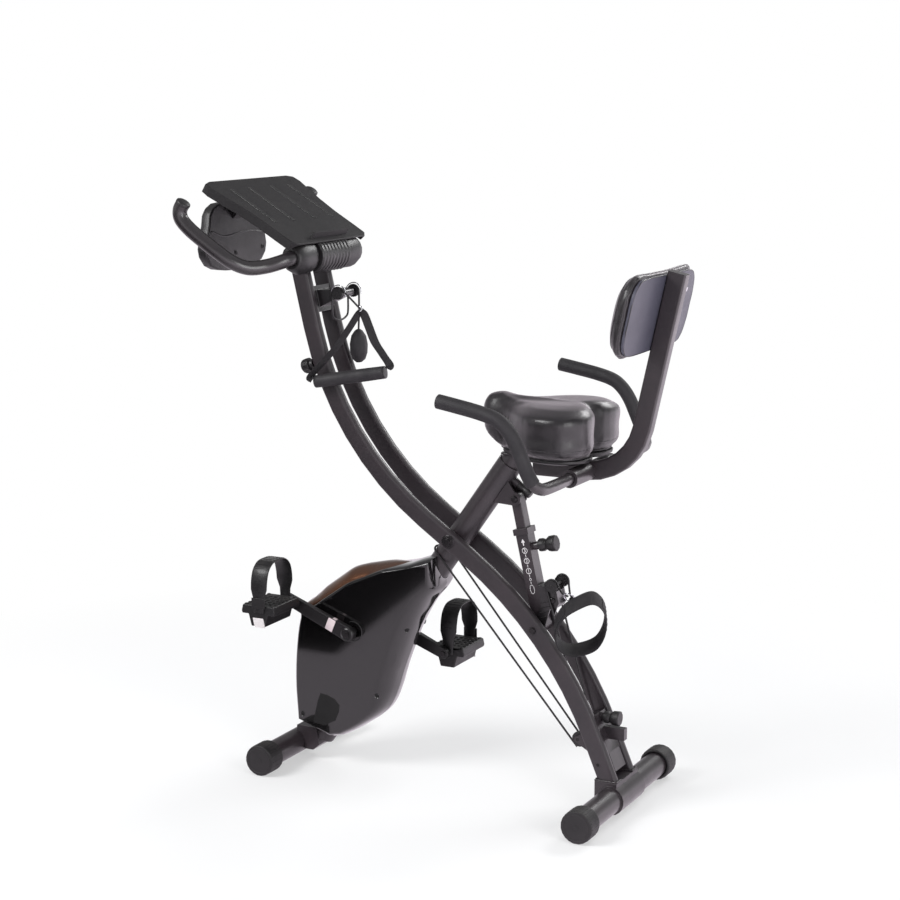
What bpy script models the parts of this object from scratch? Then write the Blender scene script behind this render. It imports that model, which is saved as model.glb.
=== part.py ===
"""Folding desk exercise bike, in metres, +Z up, +X towards the desk, +Y to the rider's left."""

import math

import bmesh
import bpy
import numpy as np
from mathutils import Vector

# Clearance left between two pieces that touch or run on each other
GAP = 0.0003

# Curved main rails, a pair of flat-sided tubes from the rear foot up to the desk
RAIL_FOOT_X = 0.010
RAIL_FOOT_HEIGHT = 0.065
RAIL_FOOT_HEADING = 67.3
RAIL_FOOT_RUN = 0.082
RAIL_LOWER_RADIUS = 0.749
RAIL_WAIST_HEADING = 34.5
RAIL_WAIST_RUN = 0.113
RAIL_UPPER_RADIUS = 0.610
RAIL_TOP_HEADING = 76.7
RAIL_DEPTH = 0.038
RAIL_WIDTH = 0.020
RAIL_CORNER = 0.008
RAIL_SPACING = 0.078
RAIL_ARC_STEPS = 8
PIVOT_ALONG_WAIST = 0.0462
STRUT_BOLT_HEIGHT = 0.341

# Rear and front stabilisers with their rubber end caps
STABILISER_DIAMETER = 0.049
FOOT_DIAMETER = 0.062
FOOT_FLOOR = 0.003
REAR_FOOT_X = 0.0
REAR_WIDTH = 0.429
REAR_FOOT_LENGTH = 0.040
FRONT_FOOT_X = 0.712
FRONT_WIDTH = 0.330
FRONT_FOOT_LENGTH = 0.043
FOOT_SIDES = 20
SADDLE_PLATE_THICKNESS = 0.004
SADDLE_PLATE_WIDTH = 0.112

# Bracket between the rails' feet, its lower pulleys and the storage lock
REAR_BRACKET_DEPTH = 0.028
REAR_BRACKET_TOP = 0.178
REAR_CHEEK = 0.0042
LOWER_PULLEY_X = 0.0790
LOWER_PULLEY_HEIGHT = 0.132
LOWER_PULLEY_DIAMETER = 0.028
LOWER_PULLEY_GROOVE = 0.019
LOWER_AXLE_DIAMETER = 0.006
LOCK_HEIGHT = 0.176
LOCK_BOSS_LENGTH = 0.007
LOCK_GRIP_LENGTH = 0.032
LOCK_GRIP_DIAMETER = 0.030
HOOK_REAR = -0.008
HOOK_BOTTOM = 0.136
HOOK_TOP = 0.159
HOOK_WIDTH = 0.014

# Main post, the straight tube that crosses the rails
POST_ANGLE = 125.0
POST_DIAMETER = 0.050
POST_WALL = 0.003
POST_ABOVE_PIVOT = 0.192
POST_BELOW_PIVOT = 0.545
SEAT_BORE_BELOW_PIVOT = 0.070
PIVOT_STUB_DIAMETER = 0.014
PIVOT_SPACER_DIAMETER = 0.026
PIVOT_HEAD_DIAMETER = 0.022
PIVOT_HEAD_HEIGHT = 0.007
BOLT_DIAMETER = 0.008
EAR_THICKNESS = 0.004
EAR_RADIUS = 0.013
STRUT_PIN_ALONG_POST = 0.1455
STRUT_PIN_BEHIND_POST = 0.0508
FOOT_BRACKET_WIDTH = 0.056
FOOT_BRACKET_LENGTH = 0.058
FOOT_BRACKET_BOTTOM = 0.020
FOOT_BRACKET_TOP = 0.068

# Telescopic strut behind the post
STRUT_INNER_DEPTH = 0.020
STRUT_INNER_WIDTH = 0.024
STRUT_OUTER_DEPTH = 0.0252
STRUT_OUTER_WIDTH = 0.030
STRUT_OUTER_LENGTH = 0.191
STRUT_INNER_LENGTH = 0.220
STRUT_FOOT_SOLID = 0.024
STRUT_FOOT_HOLE = 0.0155
STRUT_COLLAR = 0.003
STRUT_COLLAR_LENGTH = 0.011
STRUT_KNOB_BELOW_TOP = 0.037

# Pull knobs of the seat post and the strut
KNOB_BOSS_DIAMETER = 0.016
KNOB_PIN_DIAMETER = 0.008
KNOB_PIN_DEPTH = 0.010
SEAT_KNOB_ALONG_POST = 0.168
SEAT_KNOB_BOSS = 0.013
SEAT_KNOB_GRIP = 0.031
STRUT_KNOB_BOSS = 0.014
STRUT_KNOB_GRIP = 0.036

# Drive: crank, pulleys, belt and flywheel, placed from the pivot down the post
CRANK_DOWN_POST = 0.2890
CRANK_AHEAD_OF_POST = 0.0555
FLYWHEEL_DOWN_POST = 0.3910
FLYWHEEL_AHEAD_OF_POST = 0.0353
SPINDLE_DIAMETER = 0.017
SPINDLE_LENGTH = 0.155
BEARING_SHELL_DIAMETER = 0.040
BEARING_SHELL_LENGTH = 0.056
CARRIER_PLATE_THICKNESS = 0.0045
CARRIER_PLATE_OUTSIDE = 0.0265
DRIVE_PULLEY_RADIUS = 0.065
SMALL_PULLEY_RADIUS = 0.0125
PULLEY_INSIDE = 0.0290
PULLEY_WIDTH = 0.012
BELT_WIDTH = 0.009
BELT_THICKNESS = 0.002
BELT_BIG_STEPS = 18
BELT_SMALL_STEPS = 6
FLYWHEEL_RADIUS = 0.080
FLYWHEEL_THICKNESS = 0.018
FLYWHEEL_SHAFT_DIAMETER = 0.012
CRANK_LENGTH = 0.152
CRANK_ANGLE = 22.0
CRANK_INSIDE = 0.064
CRANK_THICKNESS = 0.012
CRANK_BOSS_RADIUS = 0.015
CRANK_END_RADIUS = 0.011

# Pedals, with a weighted hub below and an adjustable strap above
PEDAL_AXLE_DIAMETER = 0.012
PEDAL_INSIDE = 0.084
PEDAL_WIDTH = 0.096
PEDAL_LENGTH = 0.076
PEDAL_THICKNESS = 0.018
PEDAL_HUB_DROP = 0.024
PEDAL_HUB_LENGTH = 0.044
STRAP_WIDTH = 0.037
STRAP_HEIGHT = 0.085
STRAP_LEG_SHARE = 0.62
STRAP_BEHIND_AXLE = 0.003
STRAP_THICKNESS = 0.0024

# Drive housing, two side shells with a crowned cover along the top
HOUSING_WIDTH = 0.104
HOUSING_WALL = 0.0025
COVER_WIDTH = 0.088
# Outline of the side, forward of and above the crank axle, and how far the side's face lies inside it
HOUSING_OUTLINE = (
    (0.1380, -0.2060, 0.012),
    (0.0576, -0.2330, 0.013),
    (-0.0173, -0.1950, 0.014),
    (-0.0520, -0.1660, 0.022),
    (-0.0700, -0.1340, 0.030),
    (-0.0880, -0.0800, 0.034),
    (-0.1010, -0.0450, 0.035),
    (-0.1270, 0.0190, 0.035),
    (-0.1555, 0.0705, 0.028),
    (-0.1835, 0.1095, 0.020),
    (-0.1760, 0.1700, 0.016),
    (-0.1430, 0.1590, 0.012),
    (-0.1070, 0.1455, 0.008),
    (-0.0625, 0.1320, 0.006),
    (-0.0200, 0.1125, 0.006),
    (0.0100, 0.0995, 0.006),
    (0.0400, 0.0795, 0.006),
    (0.0700, 0.0585, 0.006),
    (0.0960, 0.0400, 0.006),
    (0.1234, 0.0325, 0.008),
    (0.1285, 0.0150, 0.010),
    (0.1340, -0.0070, 0.011),
    (0.1395, -0.0500, 0.011),
    (0.1430, -0.1000, 0.012),
    (0.1425, -0.1450, 0.012),
)
# The side's rounding: how far out of the half width, and the share of the inset there
HOUSING_ROUNDING = (
    (1.00, 1.00),
    (0.93, 0.60),
    (0.72, 0.26),
    (0.38, 0.07),
)
# Steps of the curve between two of the outline's points, and the turn that stays a corner
HOUSING_STEPS = 3
HOUSING_CORNER = math.radians(60)
COVER_FIRST = 13
# Height of the cover's crown over each of its points
COVER_CROWN = (0.010, 0.021, 0.024, 0.023, 0.022, 0.019, 0.006)
# Where the cover starts and stops, as shares of the outline's spans there
COVER_START = 0.12
COVER_STOP = 0.92
CRANK_OPENING = 0.026

# Seat post, carrier plate and saddle
SEAT_TUBE_DIAMETER = 0.0434
SEAT_TUBE_BELOW_PIVOT = 0.060
CARRIER_HEIGHT = 0.6703
CARRIER_THICKNESS = 0.004
CARRIER_FRONT = 0.250
CARRIER_REAR = 0.080
CARRIER_WIDTH = 0.048
SADDLE_PAN_THICKNESS = 0.009
SADDLE_PAN_SHARE = 0.80
SADDLE_SKIRT = 0.690
SADDLE_EDGE = 0.764
SADDLE_CROWN = 0.778
SADDLE_NOSE_RISE = 0.018
SADDLE_NOSE_LIFT = 0.033
SADDLE_REAR_LIFT = 0.008
SADDLE_PAN_MIDDLE = 0.200
SADDLE_PAN_SHORTENED = 0.57
SADDLE_SPINE_REAR = 0.105
SADDLE_SPINE_FRONT = 0.235
# Half of the saddle's outline from the rear cleft to the nose
SADDLE_OUTLINE = (
    (0.064, 0.000),
    (0.047, 0.026),
    (0.040, 0.062),
    (0.049, 0.102),
    (0.078, 0.129),
    (0.115, 0.135),
    (0.152, 0.124),
    (0.186, 0.095),
    (0.214, 0.065),
    (0.243, 0.044),
    (0.272, 0.033),
    (0.292, 0.018),
    (0.297, 0.000),
)

# Backrest: bent rectangular tube, board and pad
BACKREST_TUBE_DEPTH = 0.036
BACKREST_TUBE_WIDTH = 0.025
BACKREST_TUBE_CORNER = 0.004
BACKREST_TUBE_FRONT = 0.185
BACKREST_BEND_X = 0.0761
BACKREST_BEND_RADIUS = 0.112
BACKREST_LEAN = 77.6
BACKREST_TOP = 1.030
PAD_MIDDLE_HEIGHT = 0.952
PAD_WIDTH = 0.326
PAD_HEIGHT = 0.166
PAD_CORNER = 0.050
PAD_THICKNESS = 0.042
PAD_BORDER = 0.012
BOARD_THICKNESS = 0.006

# Handles either side of the seat, one bent bar through a cross sleeve
SEAT_BAR_DIAMETER = 0.0225
SEAT_GRIP_DIAMETER = 0.029
SEAT_SLEEVE_DIAMETER = 0.034
SEAT_SLEEVE_WIDTH = 0.196
SEAT_SLEEVE_X = 0.072
SEAT_SLEEVE_HEIGHT = 0.652
# Half of the bar's route from the sleeve to its tip
SEAT_BAR_ROUTE = (
    (0.066, 0.150, 0.6545),
    (0.061, 0.200, 0.657),
    (0.060, 0.238, 0.659),
    (0.062, 0.256, 0.664),
    (0.068, 0.264, 0.672),
    (0.077, 0.268, 0.690),
    (0.087, 0.268, 0.712),
    (0.098, 0.268, 0.737),
    (0.111, 0.268, 0.759),
    (0.129, 0.268, 0.777),
    (0.152, 0.268, 0.788),
    (0.196, 0.268, 0.7975),
    (0.244, 0.268, 0.8055),
)
SEAT_GRIP_END = (0.250, 0.268, 0.8065)
SEAT_GRIP_POINTS = 17

# Head: cross tube on top of the rails, its end caps and the handlebar
HEAD_HEIGHT = 1.034
HEAD_COPE = 0.004
HEAD_TUBE_DIAMETER = 0.038
HEAD_TUBE_LENGTH = 0.229
HEAD_CAP_INSIDE = 0.0555
HEAD_CAP_OUTSIDE = 0.120
HEAD_CAP_HALF_DEPTH = 0.0285
HEAD_CAP_HALF_HEIGHT = 0.0332
HANDLEBAR_DIAMETER = 0.028
# Half of the bar's route, ahead of and above the cross tube's axis
HANDLEBAR_ROUTE = (
    (0.012, 0.141, -0.006),
    (0.033, 0.158, -0.013),
    (0.056, 0.182, -0.015),
    (0.078, 0.203, -0.004),
    (0.104, 0.216, 0.016),
    (0.132, 0.224, 0.038),
    (0.156, 0.230, 0.058),
    (0.172, 0.234, 0.077),
    (0.174, 0.235, 0.094),
    (0.166, 0.235, 0.108),
)

# Desk: ribbed clamp round the cross tube, tray and console
CLAMP_WIDTH = 0.109
CLAMP_RADIUS = 0.035
CLAMP_RIBS = 9
CLAMP_RIB_DEPTH = 0.0025
CLAMP_START = 30.0
CLAMP_END = 252.0
CLAMP_STEPS = 10
TRAY_SLOPE = 30.7
TRAY_ABOVE_HEAD = 0.0371
TRAY_SKIN = 0.003
TRAY_RIM = 0.018
TRAY_LEVEL_RIM = 0.0033
TRAY_CORNER = 0.016
LIP_UP_SLOPE = 0.010
LIP_THICKNESS = 0.005
LIP_HEIGHT = 0.014
LIP_HALF_WIDTH = 0.066
# Half of the tray's outline, up the slope and out from the middle, and the rim's depth there
TRAY_OUTLINE = (
    (-0.006, 0.052, TRAY_LEVEL_RIM),
    (-0.005, 0.127, TRAY_LEVEL_RIM),
    (0.004, 0.140, TRAY_RIM),
    (0.030, 0.141, TRAY_RIM),
    (0.082, 0.141, TRAY_RIM),
    (0.130, 0.147, TRAY_RIM),
    (0.196, 0.164, TRAY_RIM),
    (0.214, 0.160, TRAY_RIM),
    (0.220, 0.140, TRAY_RIM),
)
STEM_START = 0.028
STEM_WIDTH = 0.030
STEM_DEPTH = 0.013
STEM_REACH = 0.170
CONSOLE_AHEAD = 0.1996
CONSOLE_DEPTH = 0.024
CONSOLE_EDGE = 0.006
# Half of the console's outline, out from the middle and above the cross tube's axis
CONSOLE_OUTLINE = (
    (0.000, -0.040),
    (0.040, -0.038),
    (0.070, -0.034),
    (0.094, -0.025),
    (0.108, -0.010),
    (0.1125, 0.008),
    (0.107, 0.030),
    (0.098, 0.055),
    (0.0945, 0.075),
    (0.084, 0.088),
    (0.066, 0.096),
    (0.036, 0.098),
    (0.000, 0.098),
)

# Pulleys and bands for the arms, hung behind the rails below the desk, placed from the upper pulleys' axle
UPPER_PULLEY_BEHIND_RAIL = 0.0681
UPPER_PULLEY_BELOW_HEAD = 0.0735
UPPER_PULLEY_DIAMETER = 0.023
UPPER_PULLEY_GROOVE = 0.030
UPPER_BRACKET_WIDTH = 0.044
PULLEY_WHEEL_WIDTH = 0.008
PULLEY_AXLE_DIAMETER = 0.006
BAND_DIAMETER = 0.004
GRIP_DIAMETER = 0.025
GRIP_BORE = 0.0175
GRIP_NEAR_END = (0.0295, 0.0675, -0.1695)
GRIP_FAR_END = (-0.1110, 0.0450, -0.1450)
STRAP_TOP = (-0.0510, 0.0300, -0.0315)
HANDLE_STRAP_WIDTH = 0.016
HANDLE_STRAP_THICKNESS = 0.002
SECOND_HANDLE_CENTRE = (-0.009, -0.034, -0.1085)
SECOND_HANDLE_HEIGHT = 0.066
SECOND_HANDLE_DEPTH = 0.036
SECOND_HANDLE_WIDTH = 0.040

# Pulleys and bands for the legs, behind the strut's foot
REAR_PULLEY_X = 0.1370
REAR_PULLEY_HEIGHT = 0.4255
REAR_PULLEY_DIAMETER = 0.024
REAR_PULLEY_GROOVE = 0.0245
REAR_BRACKET_CHEEK = 0.0035
CUFF_STRAP_WIDTH = 0.038
CUFF_THICKNESS = 0.003
CUFF_CENTRE = (0.0408, 0.0800, 0.3775)
CUFF_AXIS = (-0.4092, 0.7885, -0.4591)
LEG_LOOP_BELOW_PIVOT = 0.047
# Ankle cuff's loop, level and up across its tilted axis
CUFF_LOOP = (
    (-0.0068, 0.0647),
    (-0.0259, 0.0499),
    (-0.0337, 0.0225),
    (-0.0327, -0.0152),
    (-0.0194, -0.0482),
    (0.0062, -0.0636),
    (0.0324, -0.0661),
    (0.0538, -0.0430),
    (0.0569, -0.0074),
    (0.0452, 0.0276),
    (0.0220, 0.0500),
)
CUFF_BAND_END = (0.0707, 0.0954, 0.4213)

# Resistance knob on the front of the left rail
TENSION_KNOB_HEIGHT = 0.829
TENSION_KNOB_DIAMETER = 0.029
TENSION_KNOB_LENGTH = 0.026

ROUND = 16
SMALL_ROUND = 10


def scene_cleared():
    for obj in list(bpy.data.objects):
        bpy.data.objects.remove(obj)


def finish(name, colour, roughness, metallic=0.0):
    """A plain material with the piece's colour, roughness and metallic value."""
    material = bpy.data.materials.new(name)
    material.use_nodes = True
    shader = material.node_tree.nodes["Principled BSDF"]
    shader.inputs["Base Color"].default_value = (*colour, 1.0)
    shader.inputs["Roughness"].default_value = roughness
    shader.inputs["Metallic"].default_value = metallic
    return material


def body(name, place, parent=None):
    """An empty that carries the pieces of one moving body, on that body's joint axis."""
    empty = bpy.data.objects.new(name, None)
    empty.empty_display_size = 0.02
    empty["place"] = tuple(place)
    empty.parent = parent
    empty.location = Vector(place) - (Vector(parent["place"]) if parent else Vector())
    bpy.context.scene.collection.objects.link(empty)
    return empty


def stand(name, data, carrier):
    obj = bpy.data.objects.new(name, data)
    obj.parent = carrier
    bpy.context.scene.collection.objects.link(obj)
    return obj


def piece(name, shape, material, carrier, sharp=32.0):
    """A solid drawn where it stands on the bike, with its origin on its body's axis."""
    bmesh.ops.recalc_face_normals(shape, faces=shape.faces)
    bmesh.ops.translate(shape, vec=-Vector(carrier["place"]), verts=shape.verts)
    mesh = bpy.data.meshes.new(name)
    shape.to_mesh(mesh)
    shape.free()
    mesh.materials.append(material)
    mesh.shade_smooth()
    mesh.set_sharp_from_angle(angle=math.radians(sharp))
    return stand(name, mesh, carrier)


def tool(name, shape, carrier):
    """A shape that only cuts or joins, left out of renders."""
    helper = piece(name, shape, None, carrier)
    helper.hide_render = True
    helper.display_type = "WIRE"
    return helper


def cut(obj, label, helper):
    modifier = obj.modifiers.new(label, "BOOLEAN")
    modifier.operation = "DIFFERENCE"
    modifier.object = helper


def join(obj, label, shape):
    modifier = obj.modifiers.new(label, "BOOLEAN")
    modifier.operation = "UNION"
    modifier.object = tool(f"{obj.name}_{label}", shape, obj.parent)


def ring_of(shape, points):
    return [shape.verts.new(point) for point in points]


def skin(shape, rings, closed=False):
    """Faces between neighbouring rings, with a cap at each end unless the rings close on themselves."""
    pairs = list(zip(rings, rings[1:]))
    if closed:
        pairs.append((rings[-1], rings[0]))
    for first, second in pairs:
        count = max(len(first), len(second))
        for i in range(count):
            j = (i + 1) % count
            if len(first) == 1:
                shape.faces.new((first[0], second[j], second[i]))
            elif len(second) == 1:
                shape.faces.new((first[i], first[j], second[0]))
            else:
                shape.faces.new((first[i], first[j], second[j], second[i]))
    if not closed:
        for ring in (rings[0], rings[-1]):
            if len(ring) > 2:
                shape.faces.new(ring)


def skinned(rings, closed=False):
    shape = bmesh.new()
    skin(shape, [ring_of(shape, ring) for ring in rings], closed)
    return shape


def oval(centre, side, up, half_side, half_up, sides, turn=0.5):
    """Points round an oval, starting half a step off its side so that one flat faces down."""
    points = []
    for i in range(sides):
        angle = math.tau * (i + turn) / sides
        points.append(centre + side * (half_side * math.cos(angle)) + up * (half_up * math.sin(angle)))
    return points


def across(axis):
    """Two directions square to an axis and to each other."""
    reference = Vector((0, 0, 1)) if abs(axis.z) < 0.9 else Vector((1, 0, 0))
    side = reference.cross(axis).normalized()
    return side, axis.cross(side).normalized()


def turned(profile, origin, axis, sides=ROUND, closed=False):
    """A lathed solid: each profile point is (distance along the axis, radius)."""
    side, up = across(axis)
    rings = []
    for along, radius in profile:
        centre = origin + axis * along
        rings.append([centre] if radius == 0 else oval(centre, side, up, radius, radius, sides))
    return skinned(rings, closed)


def rod(origin, axis, start, end, radius, sides=ROUND):
    return turned([(start, radius), (end, radius)], origin, axis, sides)


def bore(radius, sides=ROUND):
    """Radius of a faceted hole that clears a round rod of this radius."""
    return (radius + GAP) / math.cos(math.pi / sides)


def slab(outline, y_low, y_high):
    """A plate in side view, between two distances across the bike."""
    return skinned([[Vector((x, y, z)) for x, z in outline] for y in (y_low, y_high)])


def box(low, high):
    x0, y0, z0 = low
    x1, y1, z1 = high
    return slab([(x0, z0), (x1, z0), (x1, z1), (x0, z1)], y0, y1)


def inset(outline, distance):
    """The outline moved inwards, by one distance or by one for each corner."""
    points = [Vector(point) for point in outline]
    area = sum(a.x * b.y - b.x * a.y for a, b in zip(points, points[1:] + points[:1]))
    turn = 1.0 if area > 0 else -1.0
    moved = []
    for i, point in enumerate(points):
        before = (point - points[i - 1]).normalized()
        after = (points[(i + 1) % len(points)] - point).normalized()
        first = Vector((-before.y, before.x)) * turn
        second = Vector((-after.y, after.x)) * turn
        middle = (first + second).normalized()
        reach = distance if isinstance(distance, float) else distance[i]
        moved.append(point + middle * (reach / max(middle.dot(first), 0.5)))
    return [tuple(point) for point in moved]


def rounded(outline, radius, steps=3):
    """The outline with an arc at each corner."""
    points = [Vector(point) for point in outline]
    result = []
    for i, corner in enumerate(points):
        before = points[i - 1] - corner
        after = points[(i + 1) % len(points)] - corner
        half = before.angle(after) / 2
        reach = min(radius / math.tan(half), before.length * 0.49, after.length * 0.49)
        start = corner + before.normalized() * reach
        end = corner + after.normalized() * reach
        for k in range(steps + 1):
            t = k / steps
            result.append(tuple(start * (1 - t) ** 2 + corner * (2 * t * (1 - t)) + end * t**2))
    return result


def rectangle(width, depth, corner, steps=2):
    half_width = width / 2
    half_depth = depth / 2
    corners = [
        (half_width, half_depth),
        (-half_width, half_depth),
        (-half_width, -half_depth),
        (half_width, -half_depth),
    ]
    points = []
    for i, (x, z) in enumerate(corners):
        centre = Vector((math.copysign(half_width - corner, x), math.copysign(half_depth - corner, z)))
        for k in range(steps + 1):
            angle = math.pi / 2 * (i + k / steps)
            points.append(tuple(centre + Vector((math.cos(angle), math.sin(angle))) * corner))
    return points


def circle_section(radius, sides):
    return [
        (radius * math.cos(math.tau * i / sides), radius * math.sin(math.tau * i / sides))
        for i in range(sides)
    ]


def curve_through(points, per_span, closed=False):
    """Points on a smooth curve through the given ones."""
    route = [Vector(point) for point in points]
    count = len(route)
    result = []
    for i in range(count if closed else count - 1):
        if closed:
            a, b, c, d = (route[(i + k) % count] for k in (-1, 0, 1, 2))
        else:
            a, b, c, d = (route[min(max(i + k, 0), count - 1)] for k in (-1, 0, 1, 2))
        for step in range(per_span):
            t = step / per_span
            result.append(
                b
                + (c - a) * (0.5 * t)
                + (a * 2 - b * 5 + c * 4 - d) * (0.5 * t * t)
                + (b * 3 - c * 3 + d - a) * (0.5 * t**3)
            )
    if not closed:
        result.append(route[-1])
    return result


def tangents_of(path, closed=False):
    tangents = []
    last = len(path) - 1
    for i in range(len(path)):
        before = path[i - 1] if closed else path[max(i - 1, 0)]
        after = path[(i + 1) % len(path)] if closed else path[min(i + 1, last)]
        tangents.append((after - before).normalized())
    return tangents


def stations(path, section, first_side, closed=False):
    """The section's points at each point of the path, carried along it without twist."""
    side = Vector(first_side)
    rings = []
    for point, tangent in zip(path, tangents_of(path, closed)):
        side = (side - tangent * side.dot(tangent)).normalized()
        up = tangent.cross(side)
        rings.append([point + side * a + up * b for a, b in section])
    return rings


def levelled(ring, tangent, height):
    """A ring slid along its tube until it lies at one height."""
    return [point + tangent * ((height - point.z) / tangent.z) for point in ring]


def mirrored_route(half, centre):
    """A left-hand route, its mirror image and the straight run between them."""
    left = [Vector(point) for point in half]
    right = [Vector((point.x, -point.y, point.z)) for point in reversed(left)]
    return right + [centre] + left


def cord(name, points, diameter, material, carrier, resolution=1):
    """A round cord along a list of points."""
    data = bpy.data.curves.new(name, "CURVE")
    data.dimensions = "3D"
    data.bevel_depth = diameter / 2
    data.bevel_resolution = resolution
    data.use_fill_caps = True
    spline = data.splines.new("POLY")
    spline.points.add(len(points) - 1)
    for target, point in zip(spline.points, points):
        target.co = (*(Vector(point) - Vector(carrier["place"])), 1.0)
    data.materials.append(material)
    return stand(name, data, carrier)


def rail_line():
    """Centreline of a rail in side view, from foot to top, as (x, height, heading)."""
    x = RAIL_FOOT_X
    height = RAIL_FOOT_HEIGHT
    heading = RAIL_FOOT_HEADING
    line = [(x, height, heading)]

    def advance(length, toward):
        nonlocal x, height
        x += length * math.cos(math.radians(toward))
        height += length * math.sin(math.radians(toward))
        line.append((x, height, heading))

    def bend(radius, target):
        nonlocal heading
        step = (target - heading) / RAIL_ARC_STEPS
        chord = 2 * radius * math.sin(math.radians(abs(step)) / 2)
        for _ in range(RAIL_ARC_STEPS):
            toward = heading + step / 2
            heading += step
            advance(chord, toward)

    advance(RAIL_FOOT_RUN, heading)
    bend(RAIL_LOWER_RADIUS, RAIL_WAIST_HEADING)
    advance(RAIL_WAIST_RUN, heading)
    bend(RAIL_UPPER_RADIUS, RAIL_TOP_HEADING)
    advance((HEAD_HEIGHT - height) / math.sin(math.radians(heading)), heading)
    return line


def rail_at(height):
    """Where the rails' centreline passes a height, and its direction there."""
    line = RAIL_LINE
    for (x0, z0, _), (x1, z1, _) in zip(line, line[1:]):
        if height <= z1:
            break
    share = (height - z0) / (z1 - z0)
    direction = Vector((x1 - x0, 0, z1 - z0)).normalized()
    return Vector((x0 + share * (x1 - x0), 0, height)), direction


def ahead_of(direction):
    """The direction in side view that points forwards, square to one that points up."""
    return Vector((direction.z, 0, -direction.x))


Y_AXIS = Vector((0, 1, 0))
RAIL_LINE = rail_line()
RAIL_SIDE = RAIL_SPACING / 2
RAIL_INSIDE = RAIL_SIDE - RAIL_WIDTH / 2
RAIL_OUTSIDE = RAIL_SIDE + RAIL_WIDTH / 2
WAIST_START = RAIL_LINE[1 + RAIL_ARC_STEPS]
WAIST_DIRECTION = Vector(
    (math.cos(math.radians(RAIL_WAIST_HEADING)), 0, math.sin(math.radians(RAIL_WAIST_HEADING)))
)
PIVOT = Vector((WAIST_START[0], 0, WAIST_START[1])) + WAIST_DIRECTION * PIVOT_ALONG_WAIST
POST_UP = Vector((math.cos(math.radians(POST_ANGLE)), 0, math.sin(math.radians(POST_ANGLE))))
POST_AHEAD = ahead_of(POST_UP)
STRUT_BOLT, _ = rail_at(STRUT_BOLT_HEIGHT)
STRUT_PIN = PIVOT + POST_UP * STRUT_PIN_ALONG_POST - POST_AHEAD * STRUT_PIN_BEHIND_POST
STRUT_UP = (STRUT_PIN - STRUT_BOLT).normalized()
STRUT_AHEAD = ahead_of(STRUT_UP)
CRANK = PIVOT - POST_UP * CRANK_DOWN_POST + POST_AHEAD * CRANK_AHEAD_OF_POST
FLYWHEEL = PIVOT - POST_UP * FLYWHEEL_DOWN_POST + POST_AHEAD * FLYWHEEL_AHEAD_OF_POST
REAR_FOOT = Vector((REAR_FOOT_X, 0, FOOT_DIAMETER / 2))
FRONT_FOOT = Vector((FRONT_FOOT_X, 0, FOOT_DIAMETER / 2))
RAIL_TOP, RAIL_TOP_UP = rail_at(HEAD_HEIGHT)
HEAD = Vector(
    (
        RAIL_TOP.x - RAIL_DEPTH / 2 / RAIL_TOP_UP.z - HEAD_TUBE_DIAMETER / 2 + HEAD_COPE,
        0,
        HEAD_HEIGHT,
    )
)
TRAY_UP = Vector((math.cos(math.radians(TRAY_SLOPE)), 0, math.sin(math.radians(TRAY_SLOPE))))
TRAY_NORMAL = Vector((-TRAY_UP.z, 0, TRAY_UP.x))
CARRIER_TOP = CARRIER_HEIGHT + CARRIER_THICKNESS
BACKREST_LEG_HEIGHT = CARRIER_HEIGHT - GAP - BACKREST_TUBE_DEPTH / 2
BACKREST_UP = Vector((-math.cos(math.radians(BACKREST_LEAN)), 0, math.sin(math.radians(BACKREST_LEAN))))
BACKREST_AHEAD = ahead_of(BACKREST_UP)
SEAT_SLEEVE = Vector((SEAT_SLEEVE_X, 0, SEAT_SLEEVE_HEIGHT))
UPPER_PULLEY_LEVEL, _ = rail_at(HEAD_HEIGHT - UPPER_PULLEY_BELOW_HEAD)
UPPER_PULLEY = UPPER_PULLEY_LEVEL - Vector((UPPER_PULLEY_BEHIND_RAIL, 0, 0))
REAR_PULLEY = Vector((REAR_PULLEY_X, 0, REAR_PULLEY_HEIGHT))
LOWER_PULLEY = Vector((LOWER_PULLEY_X, 0, LOWER_PULLEY_HEIGHT))


def side_view(points):
    return [(point.x, point.z) for point in points]


def rails(coat, carrier):
    """Left and right rail, coped round the cross tube and drilled for the pivot and the strut bolt."""
    section = rectangle(RAIL_WIDTH, RAIL_DEPTH, RAIL_CORNER)
    reach = RAIL_OUTSIDE + 0.01
    holes = {
        "pivot_hole": rod(PIVOT, Y_AXIS, -reach, reach, bore(PIVOT_STUB_DIAMETER / 2)),
        "strut_hole": rod(STRUT_BOLT, Y_AXIS, -reach, reach, bore(BOLT_DIAMETER / 2)),
        "cope": rod(HEAD, Y_AXIS, -reach, reach, bore(HEAD_TUBE_DIAMETER / 2)),
    }
    cutters = {label: tool(f"rail_{label}", shape, carrier) for label, shape in holes.items()}
    for name, hand in (("left_rail", 1), ("right_rail", -1)):
        path = [Vector((x, hand * RAIL_SIDE, height)) for x, height, _ in RAIL_LINE]
        rings = stations(path, section, Y_AXIS)
        tangents = tangents_of(path)
        rings[0] = levelled(rings[0], tangents[0], RAIL_FOOT_HEIGHT)
        rings[-1] = levelled(rings[-1], tangents[-1], HEAD_HEIGHT)
        rail = piece(name, skinned(rings), coat, carrier)
        for label, cutter in cutters.items():
            cut(rail, label, cutter)


def foot_cap(name, centre, hand, outer, length, rubber, carrier):
    """A rubber cup over a stabiliser's end, with a flat of its rim on the floor."""
    radius = FOOT_DIAMETER / 2 / math.cos(math.pi / FOOT_SIDES)
    inside = bore(STABILISER_DIAMETER / 2, FOOT_SIDES)
    profile = [
        (outer - FOOT_FLOOR, inside),
        (outer - length, inside),
        (outer - length, radius),
        (outer, radius),
    ]
    axis = Y_AXIS * hand
    piece(name, turned(profile, centre, axis, FOOT_SIDES), rubber, carrier)


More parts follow.
